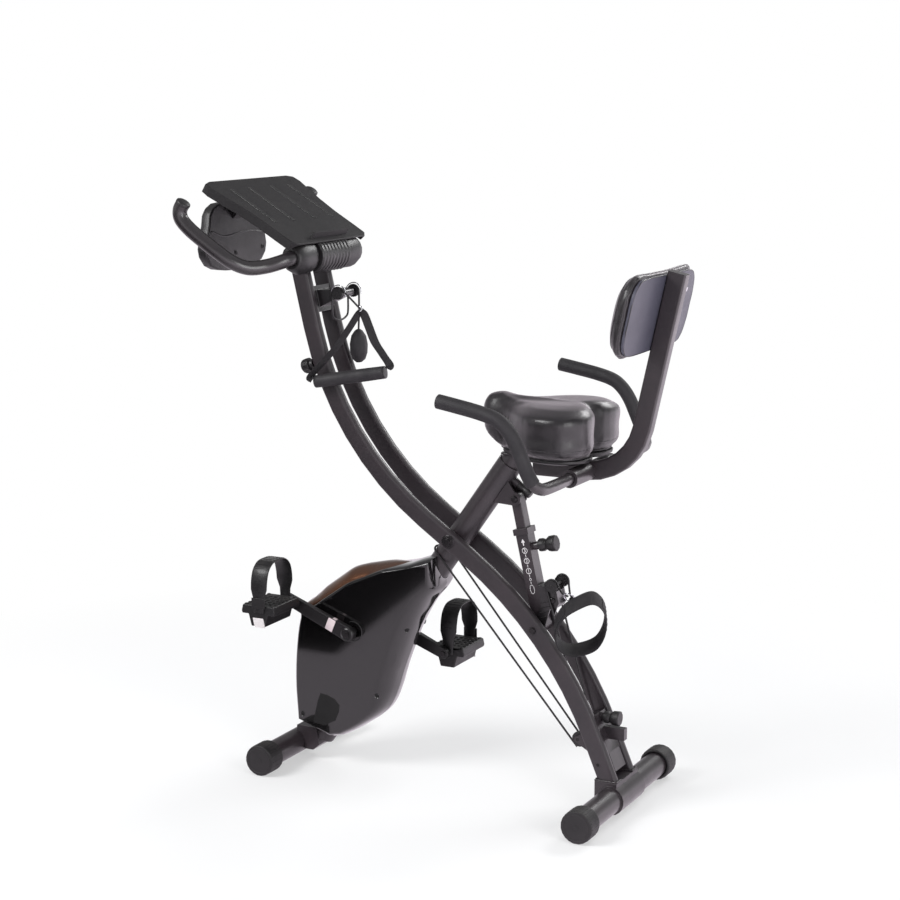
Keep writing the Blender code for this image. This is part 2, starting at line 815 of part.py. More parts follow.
def stabiliser(name, centre, width, coat, carrier):
    reach = width / 2 - FOOT_FLOOR - GAP
    return piece(
        name, rod(centre, Y_AXIS, -reach, reach, STABILISER_DIAMETER / 2, FOOT_SIDES), coat, carrier
    )


def rear_foot(coat, rubber, carrier):
    """Rear stabiliser with the curved saddle plate that the rails stand on."""
    tube = stabiliser("rear_stabiliser", REAR_FOOT, REAR_WIDTH, coat, carrier)
    half = SADDLE_PLATE_WIDTH / 2
    radius = STABILISER_DIAMETER / 2 + SADDLE_PLATE_THICKNESS
    join(tube, "saddle_plate", rod(REAR_FOOT, Y_AXIS, -half, half, radius, FOOT_SIDES))
    reach = RAIL_DEPTH / 2 / math.sin(math.radians(RAIL_FOOT_HEADING)) + 0.002
    pad = half - 0.003
    low = (RAIL_FOOT_X - reach, -pad, REAR_FOOT.z)
    high = (RAIL_FOOT_X + reach, pad, RAIL_FOOT_HEIGHT - GAP)
    join(tube, "weld_pad", box(low, high))
    for name, hand in (("rear_foot_left", 1), ("rear_foot_right", -1)):
        foot_cap(name, REAR_FOOT, hand, REAR_WIDTH / 2, REAR_FOOT_LENGTH, rubber, carrier)


def rear_bracket(coat, carrier):
    """Welded channel between the rails' feet, with ears forward for the lower pulleys."""
    depth = REAR_BRACKET_DEPTH / 2
    web_top, _ = rail_at(REAR_BRACKET_TOP)
    line = [Vector((x, 0, height)) for x, height, _ in RAIL_LINE if height < REAR_BRACKET_TOP]
    line[0] = line[0] + (line[1] - line[0]) * 0.12
    line.append(web_top)
    directions = tangents_of(line)
    front = [point + ahead_of(way) * depth for point, way in zip(line, directions)]
    back = [point - ahead_of(way) * depth for point, way in zip(line, directions)]
    outside = RAIL_INSIDE - GAP
    web = outside - REAR_CHEEK + 0.0005
    bracket = piece("rear_bracket", slab(side_view(front + back[::-1]), -web, web), coat, carrier)
    upper, way = rail_at(LOWER_PULLEY_HEIGHT + 0.024)
    lower, low_way = rail_at(LOWER_PULLEY_HEIGHT - 0.024)
    eye = LOWER_AXLE_DIAMETER / 2 + 0.004
    ear = [
        upper - ahead_of(way) * depth,
        lower - ahead_of(low_way) * depth,
        lower + ahead_of(low_way) * depth,
        LOWER_PULLEY + Vector((0, 0, -eye)),
        LOWER_PULLEY + Vector((eye * 0.8, 0, -eye * 0.6)),
        LOWER_PULLEY + Vector((eye, 0, 0)),
        LOWER_PULLEY + Vector((eye * 0.8, 0, eye * 0.6)),
        LOWER_PULLEY + Vector((0, 0, eye)),
        upper + ahead_of(way) * depth,
    ]
    for label, hand in (("ear_left", 1), ("ear_right", -1)):
        sides = sorted((hand * (outside - REAR_CHEEK), hand * outside))
        join(bracket, label, slab(side_view(ear), *sides))
    hole = rod(LOWER_PULLEY, Y_AXIS, -outside - 0.01, outside + 0.01, bore(LOWER_AXLE_DIAMETER / 2))
    cut(bracket, "axle_hole", tool("rear_bracket_axle_hole", hole, carrier))
    block_front, _ = rail_at(HOOK_TOP)
    hook = box(
        (HOOK_REAR, -HOOK_WIDTH / 2, HOOK_BOTTOM),
        (block_front.x - depth * 0.5, HOOK_WIDTH / 2, HOOK_TOP),
    )
    join(bracket, "hook", hook)
    face = lock_face()
    back_way = Vector((-1, 0, 0))
    boss_radius = KNOB_BOSS_DIAMETER / 2
    pin_radius = bore(KNOB_PIN_DIAMETER / 2, SMALL_ROUND)
    end = LOCK_BOSS_LENGTH
    join(bracket, "lock_boss", rod(face, back_way, -0.012, end, boss_radius, SMALL_ROUND))
    pin_hole = rod(face, back_way, end - KNOB_PIN_DEPTH, end + 0.02, pin_radius, SMALL_ROUND)
    cut(bracket, "lock_hole", tool("rear_bracket_lock_hole", pin_hole, carrier))


def lock_face():
    """Where the storage lock's axis meets the bracket's rear face."""
    middle, way = rail_at(LOCK_HEIGHT)
    return middle - Vector((REAR_BRACKET_DEPTH / 2 / way.z, 0, 0))


def pulley_pair(name, centre, diameter, groove, half_width, axle, reach, metal, carrier):
    """Two grooved wheels on one axle; the axle's ends run in the bracket."""
    radius = diameter / 2
    axle = axle * math.cos(math.pi / ROUND)
    half = PULLEY_WHEEL_WIDTH / 2
    valley = radius - BAND_DIAMETER * 0.6
    profile = [(-reach, axle / 2)]
    for hand in (-1, 1):
        middle = hand * groove
        profile += [
            (middle - half, axle / 2),
            (middle - half, radius),
            (middle - half * 0.6, radius),
            (middle, valley),
            (middle + half * 0.6, radius),
            (middle + half, radius),
            (middle + half, axle / 2),
        ]
    profile.append((reach, axle / 2))
    if half_width:
        profile = [point for point in profile if abs(point[0]) <= half_width]
    return piece(name, turned(profile, centre, Y_AXIS, SMALL_ROUND + 2), metal, carrier)


def knob(name, base, axis, boss_reach, grip_length, grip_radius, plastic, carrier):
    """Pull knob: a pin in its boss and a waisted grip that stands just off the boss."""
    pin = KNOB_PIN_DIAMETER / 2
    start = boss_reach - KNOB_PIN_DEPTH + 0.001
    grip = boss_reach + GAP
    profile = [
        (start, pin),
        (grip, pin),
        (grip, grip_radius * 0.8),
        (grip + grip_length * 0.25, grip_radius * 0.8),
        (grip + grip_length * 0.4, grip_radius * 0.62),
        (grip + grip_length * 0.6, grip_radius * 0.95),
        (grip + grip_length * 0.95, grip_radius),
        (grip + grip_length, grip_radius * 0.9),
    ]
    return piece(name, turned(profile, base, axis, SMALL_ROUND), plastic, carrier)


def post_point(along, ahead=0.0):
    return PIVOT + POST_UP * along + POST_AHEAD * ahead


def main_post(coat, carrier):
    """Post weldment: tube, pivot stubs, strut ears, drive plates, bearing shell and foot bracket."""
    radius = POST_DIAMETER / 2
    post = piece(
        "main_post",
        rod(PIVOT, POST_UP, -POST_BELOW_PIVOT, POST_ABOVE_PIVOT, radius, FOOT_SIDES),
        coat,
        carrier,
    )
    stub = PIVOT_STUB_DIAMETER / 2
    spacer = PIVOT_SPACER_DIAMETER / 2
    stub_end = RAIL_OUTSIDE
    spacer_end = RAIL_INSIDE - GAP
    stubs = [(-stub_end, stub), (-spacer_end, stub), (-spacer_end, spacer)]
    stubs += [(spacer_end, spacer), (spacer_end, stub), (stub_end, stub)]
    join(post, "pivot_stubs", turned(stubs, PIVOT, Y_AXIS))
    ear_inside = STRUT_INNER_WIDTH / 2 + GAP
    root = radius - POST_WALL * 1.6
    low = STRUT_PIN_ALONG_POST - 0.034
    high = min(STRUT_PIN_ALONG_POST + 0.020, POST_ABOVE_PIVOT - 0.004)
    ear = [
        post_point(low, -root),
        post_point(high, -root),
        *arc_about(STRUT_PIN, EAR_RADIUS, POST_ANGLE - 35, POST_ANGLE + 145, 6),
    ]
    for label, hand in (("ear_left", 1), ("ear_right", -1)):
        sides = sorted((hand * ear_inside, hand * (ear_inside + EAR_THICKNESS)))
        join(post, label, slab(side_view(ear), *sides))
    shell = BEARING_SHELL_DIAMETER / 2
    shaft = FLYWHEEL_SHAFT_DIAMETER / 2
    plate = [
        post_point(-CRANK_DOWN_POST + 0.05, radius * 0.2),
        *arc_about(CRANK, shell + 0.004, POST_ANGLE - 60, POST_ANGLE - 135, 4),
        *arc_about(FLYWHEEL, shaft + 0.009, POST_ANGLE - 100, POST_ANGLE - 190, 4),
        post_point(-FLYWHEEL_DOWN_POST - 0.03, radius * 0.2),
    ]
    for label, hand in (("plate_left", 1), ("plate_right", -1)):
        edge = hand * CARRIER_PLATE_OUTSIDE
        sides = sorted((edge - hand * CARRIER_PLATE_THICKNESS, edge))
        join(post, label, slab(side_view(plate), *sides))
    half = BEARING_SHELL_LENGTH / 2
    join(post, "bearing_shell", rod(CRANK, Y_AXIS, -half, half, shell))
    foot = slab(foot_bracket_outline(), -FOOT_BRACKET_WIDTH / 2, FOOT_BRACKET_WIDTH / 2)
    join(post, "foot_bracket", foot)
    boss_axis = -POST_AHEAD
    boss_base = post_point(SEAT_KNOB_ALONG_POST)
    boss_end = radius + SEAT_KNOB_BOSS
    join(
        post,
        "knob_boss",
        rod(boss_base, boss_axis, radius - POST_WALL * 0.6, boss_end, KNOB_BOSS_DIAMETER / 2, SMALL_ROUND),
    )
    seat_bore = bore(SEAT_TUBE_DIAMETER / 2, FOOT_SIDES)
    wide = CARRIER_PLATE_OUTSIDE + 0.02
    holes = {
        "seat_bore": rod(
            PIVOT, POST_UP, -SEAT_BORE_BELOW_PIVOT, POST_ABOVE_PIVOT + 0.01, seat_bore, FOOT_SIDES
        ),
        "pin_hole": rod(STRUT_PIN, Y_AXIS, -0.03, 0.03, bore(BOLT_DIAMETER / 2, SMALL_ROUND), SMALL_ROUND),
        "spindle_bore": rod(CRANK, Y_AXIS, -wide, wide, bore(SPINDLE_DIAMETER / 2)),
        "shaft_bore": rod(FLYWHEEL, Y_AXIS, -wide, wide, bore(shaft)),
        "stabiliser_seat": rod(
            FRONT_FOOT, Y_AXIS, -0.05, 0.05, bore(STABILISER_DIAMETER / 2, FOOT_SIDES), FOOT_SIDES
        ),
        "pivot_thread": rod(
            PIVOT, Y_AXIS, -0.07, 0.07, bore(BOLT_DIAMETER / 2, SMALL_ROUND), SMALL_ROUND
        ),
        "knob_bore": rod(
            boss_base,
            boss_axis,
            boss_end - KNOB_PIN_DEPTH,
            boss_end + 0.01,
            bore(KNOB_PIN_DIAMETER / 2, SMALL_ROUND),
            SMALL_ROUND,
        ),
    }
    for label, shape in holes.items():
        cut(post, label, tool(f"main_post_{label}", shape, carrier))


def foot_bracket_outline():
    back = FRONT_FOOT_X - FOOT_BRACKET_LENGTH
    front = FRONT_FOOT_X - 0.006
    return [
        (back, FOOT_BRACKET_BOTTOM + 0.012),
        (back + 0.014, FOOT_BRACKET_BOTTOM),
        (front, FOOT_BRACKET_BOTTOM),
        (front, FOOT_BRACKET_TOP),
        (back + 0.006, FOOT_BRACKET_TOP),
    ]


def arc_about(centre, radius, first, last, steps):
    """Points round a centre in side view, between two angles from forwards towards up."""
    points = []
    for i in range(steps + 1):
        angle = math.radians(first + (last - first) * i / steps)
        points.append(centre + Vector((math.cos(angle), 0, math.sin(angle))) * radius)
    return points


def pivot_bolts(steel, carrier):
    shank = BOLT_DIAMETER / 2
    head = PIVOT_HEAD_DIAMETER / 2
    seat = RAIL_OUTSIDE + GAP
    start = POST_DIAMETER / 2 + 0.003
    profile = [
        (start, shank),
        (seat, shank),
        (seat, head),
        (seat + PIVOT_HEAD_HEIGHT * 0.4, head),
        (seat + PIVOT_HEAD_HEIGHT * 0.4, head * 0.7),
        (seat + PIVOT_HEAD_HEIGHT, head * 0.6),
    ]
    for name, hand in (("pivot_bolt_left", 1), ("pivot_bolt_right", -1)):
        piece(name, turned(profile, PIVOT, Y_AXIS * hand), steel, carrier)


def through_bolt(name, centre, half_length, head_height, steel, carrier):
    """A bolt right across, with a round head and a nut outside the pieces it holds."""
    shank = BOLT_DIAMETER / 2
    head = shank * 1.8
    seat = half_length + GAP
    profile = [
        (-seat - head_height, head * 0.8),
        (-seat, head),
        (-seat, shank),
        (seat, shank),
        (seat, head),
        (seat + head_height, head * 0.8),
    ]
    piece(name, turned(profile, centre, Y_AXIS, SMALL_ROUND), steel, carrier)


def strut_point(along, ahead=0.0):
    return STRUT_BOLT + STRUT_UP * along + STRUT_AHEAD * ahead


def strut(coat, plastic, inner_carrier, outer_carrier, knob_carrier):
    """Telescopic strut: the inner tube hangs on the post's pin, the outer stands on the rails' bolt."""
    length = (STRUT_PIN - STRUT_BOLT).length
    half = STRUT_INNER_DEPTH / 2
    heading = math.degrees(math.atan2(STRUT_UP.z, STRUT_UP.x))
    inner = [
        strut_point(length - STRUT_INNER_LENGTH, half),
        *arc_about(STRUT_PIN, half, heading - 90, heading + 90, 6),
        strut_point(length - STRUT_INNER_LENGTH, -half),
    ]
    half_width = STRUT_INNER_WIDTH / 2
    inner_tube = piece("strut_inner", slab(side_view(inner), -half_width, half_width), coat, inner_carrier)
    pin_hole = rod(STRUT_PIN, Y_AXIS, -0.03, 0.03, bore(BOLT_DIAMETER / 2, SMALL_ROUND), SMALL_ROUND)
    cut(inner_tube, "pin_hole", tool("strut_inner_pin_hole", pin_hole, inner_carrier))

    half = STRUT_OUTER_DEPTH / 2
    half_width = STRUT_OUTER_WIDTH / 2
    outer = [
        *arc_about(STRUT_BOLT, half, heading - 90, heading - 270, 6),
        strut_point(STRUT_OUTER_LENGTH, -half),
        strut_point(STRUT_OUTER_LENGTH, half),
    ]
    outer_tube = piece("strut_outer", slab(side_view(outer), -half_width, half_width), coat, outer_carrier)
    collar_low = STRUT_OUTER_LENGTH - STRUT_COLLAR_LENGTH
    collar = [
        strut_point(collar_low, -half - STRUT_COLLAR),
        strut_point(collar_low, half + STRUT_COLLAR),
        strut_point(STRUT_OUTER_LENGTH + 0.001, half + STRUT_COLLAR),
        strut_point(STRUT_OUTER_LENGTH + 0.001, -half - STRUT_COLLAR),
    ]
    wide = half_width + STRUT_COLLAR
    join(outer_tube, "collar", slab(side_view(collar), -wide, wide))
    knob_base = strut_point(STRUT_OUTER_LENGTH - STRUT_KNOB_BELOW_TOP)
    boss_end = half + STRUT_KNOB_BOSS
    boss = rod(knob_base, -STRUT_AHEAD, half - 0.001, boss_end, KNOB_BOSS_DIAMETER / 2, SMALL_ROUND)
    join(outer_tube, "knob_boss", boss)
    bore_half = STRUT_INNER_DEPTH / 2 + GAP
    bore_width = STRUT_INNER_WIDTH / 2 + GAP
    hollow = [
        strut_point(STRUT_FOOT_SOLID, -bore_half),
        strut_point(STRUT_FOOT_SOLID, bore_half),
        strut_point(STRUT_OUTER_LENGTH + 0.02, bore_half),
        strut_point(STRUT_OUTER_LENGTH + 0.02, -bore_half),
    ]
    holes = {
        "hollow": slab(side_view(hollow), -bore_width, bore_width),
        "foot_hole": rod(STRUT_BOLT, Y_AXIS, -0.03, 0.03, STRUT_FOOT_HOLE / 2),
        "knob_bore": rod(
            knob_base,
            -STRUT_AHEAD,
            boss_end - KNOB_PIN_DEPTH,
            boss_end + 0.01,
            bore(KNOB_PIN_DIAMETER / 2, SMALL_ROUND),
            SMALL_ROUND,
        ),
    }
    for label, shape in holes.items():
        cut(outer_tube, label, tool(f"strut_outer_{label}", shape, outer_carrier))
    knob("strut_knob", knob_base, -STRUT_AHEAD, boss_end, STRUT_KNOB_GRIP, 0.016, plastic, knob_carrier)


def belt_loop(extra):
    """Outline round the two pulleys, this far off their rims."""
    way = FLYWHEEL - CRANK
    distance = way.length
    heading = math.degrees(math.atan2(way.z, way.x))
    splay = math.degrees(math.acos((DRIVE_PULLEY_RADIUS - SMALL_PULLEY_RADIUS) / distance))
    big_step = math.radians(360 - 2 * splay) / BELT_BIG_STEPS
    small_step = math.radians(2 * splay) / BELT_SMALL_STEPS
    big_radius = (DRIVE_PULLEY_RADIUS + extra) / math.cos(big_step / 2)
    small_radius = (SMALL_PULLEY_RADIUS + extra) / math.cos(small_step / 2)
    big = arc_about(CRANK, big_radius, heading + splay, heading + 360 - splay, BELT_BIG_STEPS)
    small = arc_about(FLYWHEEL, small_radius, heading - splay, heading + splay, BELT_SMALL_STEPS)
    return big + small


def drive(steel, alloy, rubber, post_carrier, crank_carrier, flywheel_carrier):
    half = SPINDLE_LENGTH / 2
    radius = SPINDLE_DIAMETER / 2
    spindle = [(-half, radius * 0.7), (-half + 0.002, radius), (half - 0.002, radius), (half, radius * 0.7)]
    piece("crank_spindle", turned(spindle, CRANK, Y_AXIS), steel, crank_carrier)
    inside = bore(radius)
    rim = DRIVE_PULLEY_RADIUS
    hub = radius * 2.2
    pulley = [
        (PULLEY_INSIDE, inside),
        (PULLEY_INSIDE, rim),
        (PULLEY_INSIDE + PULLEY_WIDTH, rim),
        (PULLEY_INSIDE + PULLEY_WIDTH, rim * 0.86),
        (PULLEY_INSIDE + PULLEY_WIDTH * 0.4, rim * 0.84),
        (PULLEY_INSIDE + PULLEY_WIDTH * 0.4, hub),
        (PULLEY_INSIDE + PULLEY_WIDTH, hub),
        (PULLEY_INSIDE + PULLEY_WIDTH, inside),
    ]
    piece("drive_pulley", turned(pulley, CRANK, Y_AXIS, 28, closed=True), alloy, crank_carrier)
    shaft = FLYWHEEL_SHAFT_DIAMETER / 2
    disc_inside = -CARRIER_PLATE_OUTSIDE - 0.002
    disc_outside = disc_inside - FLYWHEEL_THICKNESS
    web = (disc_inside + disc_outside) / 2
    flywheel = [
        (disc_outside - 0.001, shaft),
        (disc_outside, shaft * 2),
        (web - 0.004, shaft * 2.2),
        (web - 0.004, FLYWHEEL_RADIUS * 0.72),
        (disc_outside, FLYWHEEL_RADIUS * 0.76),
        (disc_outside, FLYWHEEL_RADIUS),
        (disc_inside, FLYWHEEL_RADIUS),
        (disc_inside, shaft),
        (PULLEY_INSIDE, shaft),
        (PULLEY_INSIDE, SMALL_PULLEY_RADIUS),
        (PULLEY_INSIDE + PULLEY_WIDTH, SMALL_PULLEY_RADIUS),
        (PULLEY_INSIDE + PULLEY_WIDTH, shaft),
        (PULLEY_INSIDE + PULLEY_WIDTH + 0.003, shaft),
    ]
    piece("flywheel", turned(flywheel, FLYWHEEL, Y_AXIS, 28), steel, flywheel_carrier)
    middle = PULLEY_INSIDE + PULLEY_WIDTH / 2
    low = middle - BELT_WIDTH / 2
    high = middle + BELT_WIDTH / 2
    inner = belt_loop(GAP)
    outer = belt_loop(GAP + BELT_THICKNESS)
    rings = [[point + Y_AXIS * y for point in loop] for loop, y in
             ((inner, low), (outer, low), (outer, high), (inner, high))]
    piece("drive_belt", skinned(rings, closed=True), rubber, post_carrier)


def crank_end(hand):
    angle = math.radians(CRANK_ANGLE)
    return CRANK + Vector((math.cos(angle), 0, math.sin(angle))) * (CRANK_LENGTH * hand)


def crank_arm(name, hand, steel, carrier):
    """A flat tapered arm with the pedal's axle screwed into its end."""
    end = crank_end(hand)
    heading = CRANK_ANGLE if hand > 0 else CRANK_ANGLE + 180
    outline = arc_about(CRANK, CRANK_BOSS_RADIUS, heading + 85, heading + 275, 8)
    outline += arc_about(end, CRANK_END_RADIUS, heading - 85, heading + 85, 6)
    sides = sorted((hand * CRANK_INSIDE, hand * (CRANK_INSIDE + CRANK_THICKNESS)))
    arm = piece(name, slab(side_view(outline), *sides), steel, carrier)
    join(
        arm,
        "axle",
        rod(
            end,
            Y_AXIS * hand,
            CRANK_INSIDE + 0.004,
            PEDAL_INSIDE + PEDAL_WIDTH - 0.008,
            PEDAL_AXLE_DIAMETER / 2,
            SMALL_ROUND,
        ),
    )
    hole = rod(CRANK, Y_AXIS * hand, CRANK_INSIDE - 0.01, CRANK_INSIDE + 0.03, bore(SPINDLE_DIAMETER / 2))
    cut(arm, "spindle_hole", tool(f"{name}_spindle_hole", hole, carrier))


def pedal(side, hand, plastic, strap_rubber, carrier):
    """Platform on a weighted hub, bored blind for the crank's axle, and the strap over it."""
    end = crank_end(hand)
    half = PEDAL_LENGTH / 2
    low = PEDAL_THICKNESS / 2
    hub = PEDAL_HUB_LENGTH / 2
    profile = [
        (-half, -low * 0.4),
        (-half * 0.92, low),
        (half * 0.92, low),
        (half, -low * 0.4),
        (half * 0.96, -low),
        (hub, -low),
        (hub * 0.7, -low - PEDAL_HUB_DROP),
        (-hub * 0.7, -low - PEDAL_HUB_DROP),
        (-hub, -low),
        (-half * 0.96, -low),
    ]
    outline = [(end.x + x, end.z + z) for x, z in profile]
    inside = PEDAL_INSIDE
    outside = PEDAL_INSIDE + PEDAL_WIDTH
    sides = sorted((hand * inside, hand * outside))
    platform = piece(f"pedal_{side}", slab(outline, *sides), plastic, carrier)
    hole = rod(
        end,
        Y_AXIS * hand,
        inside - 0.01,
        outside - 0.007,
        bore(PEDAL_AXLE_DIAMETER / 2, SMALL_ROUND),
        SMALL_ROUND,
    )
    cut(platform, "axle_bore", tool(f"pedal_{side}_axle_bore", hole, carrier))
    foot = inside - GAP - STRAP_THICKNESS / 2
    out = outside + GAP + STRAP_THICKNESS / 2
    base = end.z - low * 0.6
    top = end.z + low + STRAP_HEIGHT
    middle = (foot + out) / 2
    width = out - foot
    arch = [
        (foot, base),
        (foot, base + STRAP_HEIGHT * 0.35),
        (foot + width * 0.04, top - STRAP_HEIGHT * 0.32),
        (foot + width * 0.22, top - STRAP_HEIGHT * 0.07),
        (middle, top),
        (out - width * 0.22, top - STRAP_HEIGHT * 0.07),
        (out - width * 0.04, top - STRAP_HEIGHT * 0.32),
        (out, base + STRAP_HEIGHT * 0.35),
        (out, base),
    ]
    centre = end.x - STRAP_BEHIND_AXLE
    points = [Vector((centre, hand * y, z)) for y, z in arch]
    path = [points[0]] + curve_through(points[1:-1], 2) + [points[-1]]
    section = rectangle(STRAP_WIDTH, STRAP_THICKNESS, STRAP_THICKNESS * 0.3, 1)
    rings = stations(path, section, Vector((1, 0, 0)))
    for ring in rings:
        for point in ring:
            rise = min(max((point.z - base) / (top - base), 0.0), 1.0)
            share = STRAP_LEG_SHARE + (1 - STRAP_LEG_SHARE) * rise**0.7
            point.x = centre + (point.x - centre) * share
    strap = skinned(rings)
    band = piece(f"pedal_strap_{side}", strap, strap_rubber, carrier)
    opening = rod(end, Y_AXIS * hand, foot - 0.01, foot + 0.01, PEDAL_AXLE_DIAMETER / 2 + 0.0015, SMALL_ROUND)
    cut(band, "axle_opening", tool(f"pedal_strap_{side}_axle_opening", opening, carrier))


def between(values, place):
    """The value at a place between two numbered values."""
    low = int(place)
    high = (low + 1) % len(values)
    return values[low] + (values[high] - values[low]) * (place - low)


def housing_loop():
    """Outline of the drive housing in side view, as a curve through its points, with each place along it."""
    points = [Vector((CRANK.x + x, CRANK.z + z)) for x, z, _ in HOUSING_OUTLINE]
    count = len(points)
    curve = []
    for i, start in enumerate(points):
        end = points[(i + 1) % count]
        span = end - start
        before = start - points[i - 1]
        after = points[(i + 2) % count] - end
        cornered = max(before.angle(span), span.angle(after)) > HOUSING_CORNER
        leaving = (before.normalized() + span.normalized()).normalized() * span.length
        arriving = (after.normalized() + span.normalized()).normalized() * span.length
        steps = 1 if cornered else HOUSING_STEPS
        for k in range(steps):
            t = k / steps
            point = start * (2 * t**3 - 3 * t**2 + 1) + end * (3 * t**2 - 2 * t**3)
            point += leaving * (t**3 - 2 * t**2 + t) + arriving * (t**3 - t**2)
            curve.append((point.x, point.y, i + t))
    return curve


def housing(gloss, bronze, carrier):
    """Two side shells, rounded into the rim, and the crowned cover that fills the gap on top."""
    curve = housing_loop()
    outline = [(x, z) for x, z, _ in curve]
    places = [place for _, _, place in curve]
    softness = [between([soft for _, _, soft in HOUSING_OUTLINE], place) for place in places]
    out = HOUSING_WIDTH / 2
    cover_edge = COVER_WIDTH / 2 + GAP
    cover_last = COVER_FIRST + len(COVER_CROWN) - 1
    openings = {
        "post_hole": rod(
            PIVOT,
            POST_UP,
            -POST_BELOW_PIVOT - 0.02,
            POST_ABOVE_PIVOT,
            bore(POST_DIAMETER / 2, FOOT_SIDES),
            FOOT_SIDES,
        ),
        "crank_hole": rod(CRANK, Y_AXIS, -0.07, 0.07, CRANK_OPENING / 2),
    }
    cutters = {label: tool(f"housing_{label}", shape, carrier) for label, shape in openings.items()}
    point_edges = []
    for i in range(len(HOUSING_OUTLINE)):
        covered = COVER_FIRST <= i <= cover_last
        point_edges.append(cover_edge if covered else GAP / 2)
    edges = [between(point_edges, place) for place in places]
    for name, hand in (("housing_left", 1), ("housing_right", -1)):
        outside = []
        inside = []
        for share_out, share_in in HOUSING_ROUNDING:
            drawn = inset(outline, [soft * share_in for soft in softness])
            hollow = inset(outline, [soft * share_in + HOUSING_WALL for soft in softness])
            outside.append([(x, z, e + (out - e) * share_out) for (x, z), e in zip(drawn, edges)])
            wall = out - HOUSING_WALL
            inside.append([(x, z, e + (wall - e) * share_out) for (x, z), e in zip(hollow, edges)])
        inside.append([(x, z, e) for (x, z), e in zip(inset(outline, HOUSING_WALL), edges)])
        outside.append([(x, z, e) for (x, z), e in zip(outline, edges)])
        rings = inside + outside[::-1]
        solid = skinned([[Vector((x, hand * y, z)) for x, z, y in ring] for ring in rings])
        shell = piece(name, solid, gloss, carrier)
        for label, cutter in cutters.items():
            cut(shell, label, cutter)
    first = COVER_FIRST - 1 + COVER_START
    last = cover_last - 1 + COVER_STOP
    inner = [place for place in places if first + 0.3 < place < last - 0.15]
    crowns = [(first, 0.0), *((COVER_FIRST + k, rise) for k, rise in enumerate(COVER_CROWN[:-1])), (last, COVER_CROWN[-1])]
    stops = []
    for place in (first, *inner, last):
        i = max(k for k, other in enumerate(places) if other <= place)
        share = (place - places[i]) / (places[i + 1] - places[i])
        start = Vector((outline[i][0], 0, outline[i][1]))
        end = Vector((outline[i + 1][0], 0, outline[i + 1][1]))
        half = edges[i] + (edges[i + 1] - edges[i]) * share - GAP
        k = min(max(n for n, (other, _) in enumerate(crowns) if other <= place), len(crowns) - 2)
        along = (place - crowns[k][0]) / (crowns[k + 1][0] - crowns[k][0])
        crown = crowns[k][1] + (crowns[k + 1][1] - crowns[k][1]) * along
        stops.append((start + (end - start) * share, half, crown))
    ways = tangents_of([point for point, _, _ in stops])
    rings = []
    steps = 8
    for (point, half, crown), way in zip(stops, ways):
        outward = Vector((-way.z, 0, way.x))
        ring = []
        for skin_level in (0.0, -HOUSING_WALL):
            across_steps = range(steps + 1) if skin_level == 0.0 else range(steps, -1, -1)
            for k in across_steps:
                share = 2 * k / steps - 1
                rise = crown * (1 - share**2)
                ring.append(point + outward * (rise + skin_level) + Y_AXIS * (half * share))
        rings.append(ring)
    piece("housing_cover", skinned(rings), bronze, carrier)


def seat_post(coat, carrier):
    """Seat tube with the carrier plate welded across its top."""
    top_height = CARRIER_HEIGHT + CARRIER_THICKNESS / 2
    side, up = across(POST_UP)
    low = PIVOT - POST_UP * SEAT_TUBE_BELOW_PIVOT
    high = PIVOT + POST_UP * ((top_height - PIVOT.z) / POST_UP.z)
    radius = SEAT_TUBE_DIAMETER / 2
    rings = [oval(point, side, up, radius, radius, FOOT_SIDES) for point in (low, high)]
    rings[1] = levelled(rings[1], POST_UP, top_height)
    tube = piece("seat_post", skinned(rings), coat, carrier)
    half = CARRIER_WIDTH / 2
    plate = [(CARRIER_REAR, half), (CARRIER_REAR, -half), (CARRIER_FRONT, -half), (CARRIER_FRONT, half)]
    plate = rounded(plate, 0.010, 2)
    rings = [[Vector((x, y, z)) for x, y in plate] for z in (CARRIER_HEIGHT, CARRIER_TOP)]
    join(tube, "carrier_plate", skinned(rings))


def saddle_ring(share, height, nose_height=0.0, sink=0.0, lift=False, shorten=1.0):
    """One level of the saddle's outline, drawn in towards its spine; undersides lift at nose and rear."""
    half = [Vector((x, y, 0)) for x, y in SADDLE_OUTLINE]
    mirrored = [Vector((point.x, -point.y, 0)) for point in reversed(half[1:-1])]
    loop = curve_through(half + mirrored, 2, closed=True)
    rear = min(point.x for point in loop)
    nose = max(point.x for point in loop)
    ring = []
    for point in loop:
        spine = Vector((min(max(point.x, SADDLE_SPINE_REAR), SADDLE_SPINE_FRONT), 0, 0))
        placed = spine + (point - spine) * share
        if placed.x > SADDLE_PAN_MIDDLE:
            placed.x = SADDLE_PAN_MIDDLE + (placed.x - SADDLE_PAN_MIDDLE) * shorten
        along = (placed.x - rear) / (nose - rear)
        level = height + nose_height * max(0.0, (along - 0.62) / 0.38) ** 2
        level -= sink * math.exp(-(((along - 0.60) / 0.18) ** 2))
        if lift:
            level += SADDLE_NOSE_LIFT * max(0.0, (along - 0.80) / 0.20) ** 1.5
            level += SADDLE_REAR_LIFT * max(0.0, 1 - along / 0.12)
        ring.append(Vector((placed.x, placed.y, level)))
    return ring


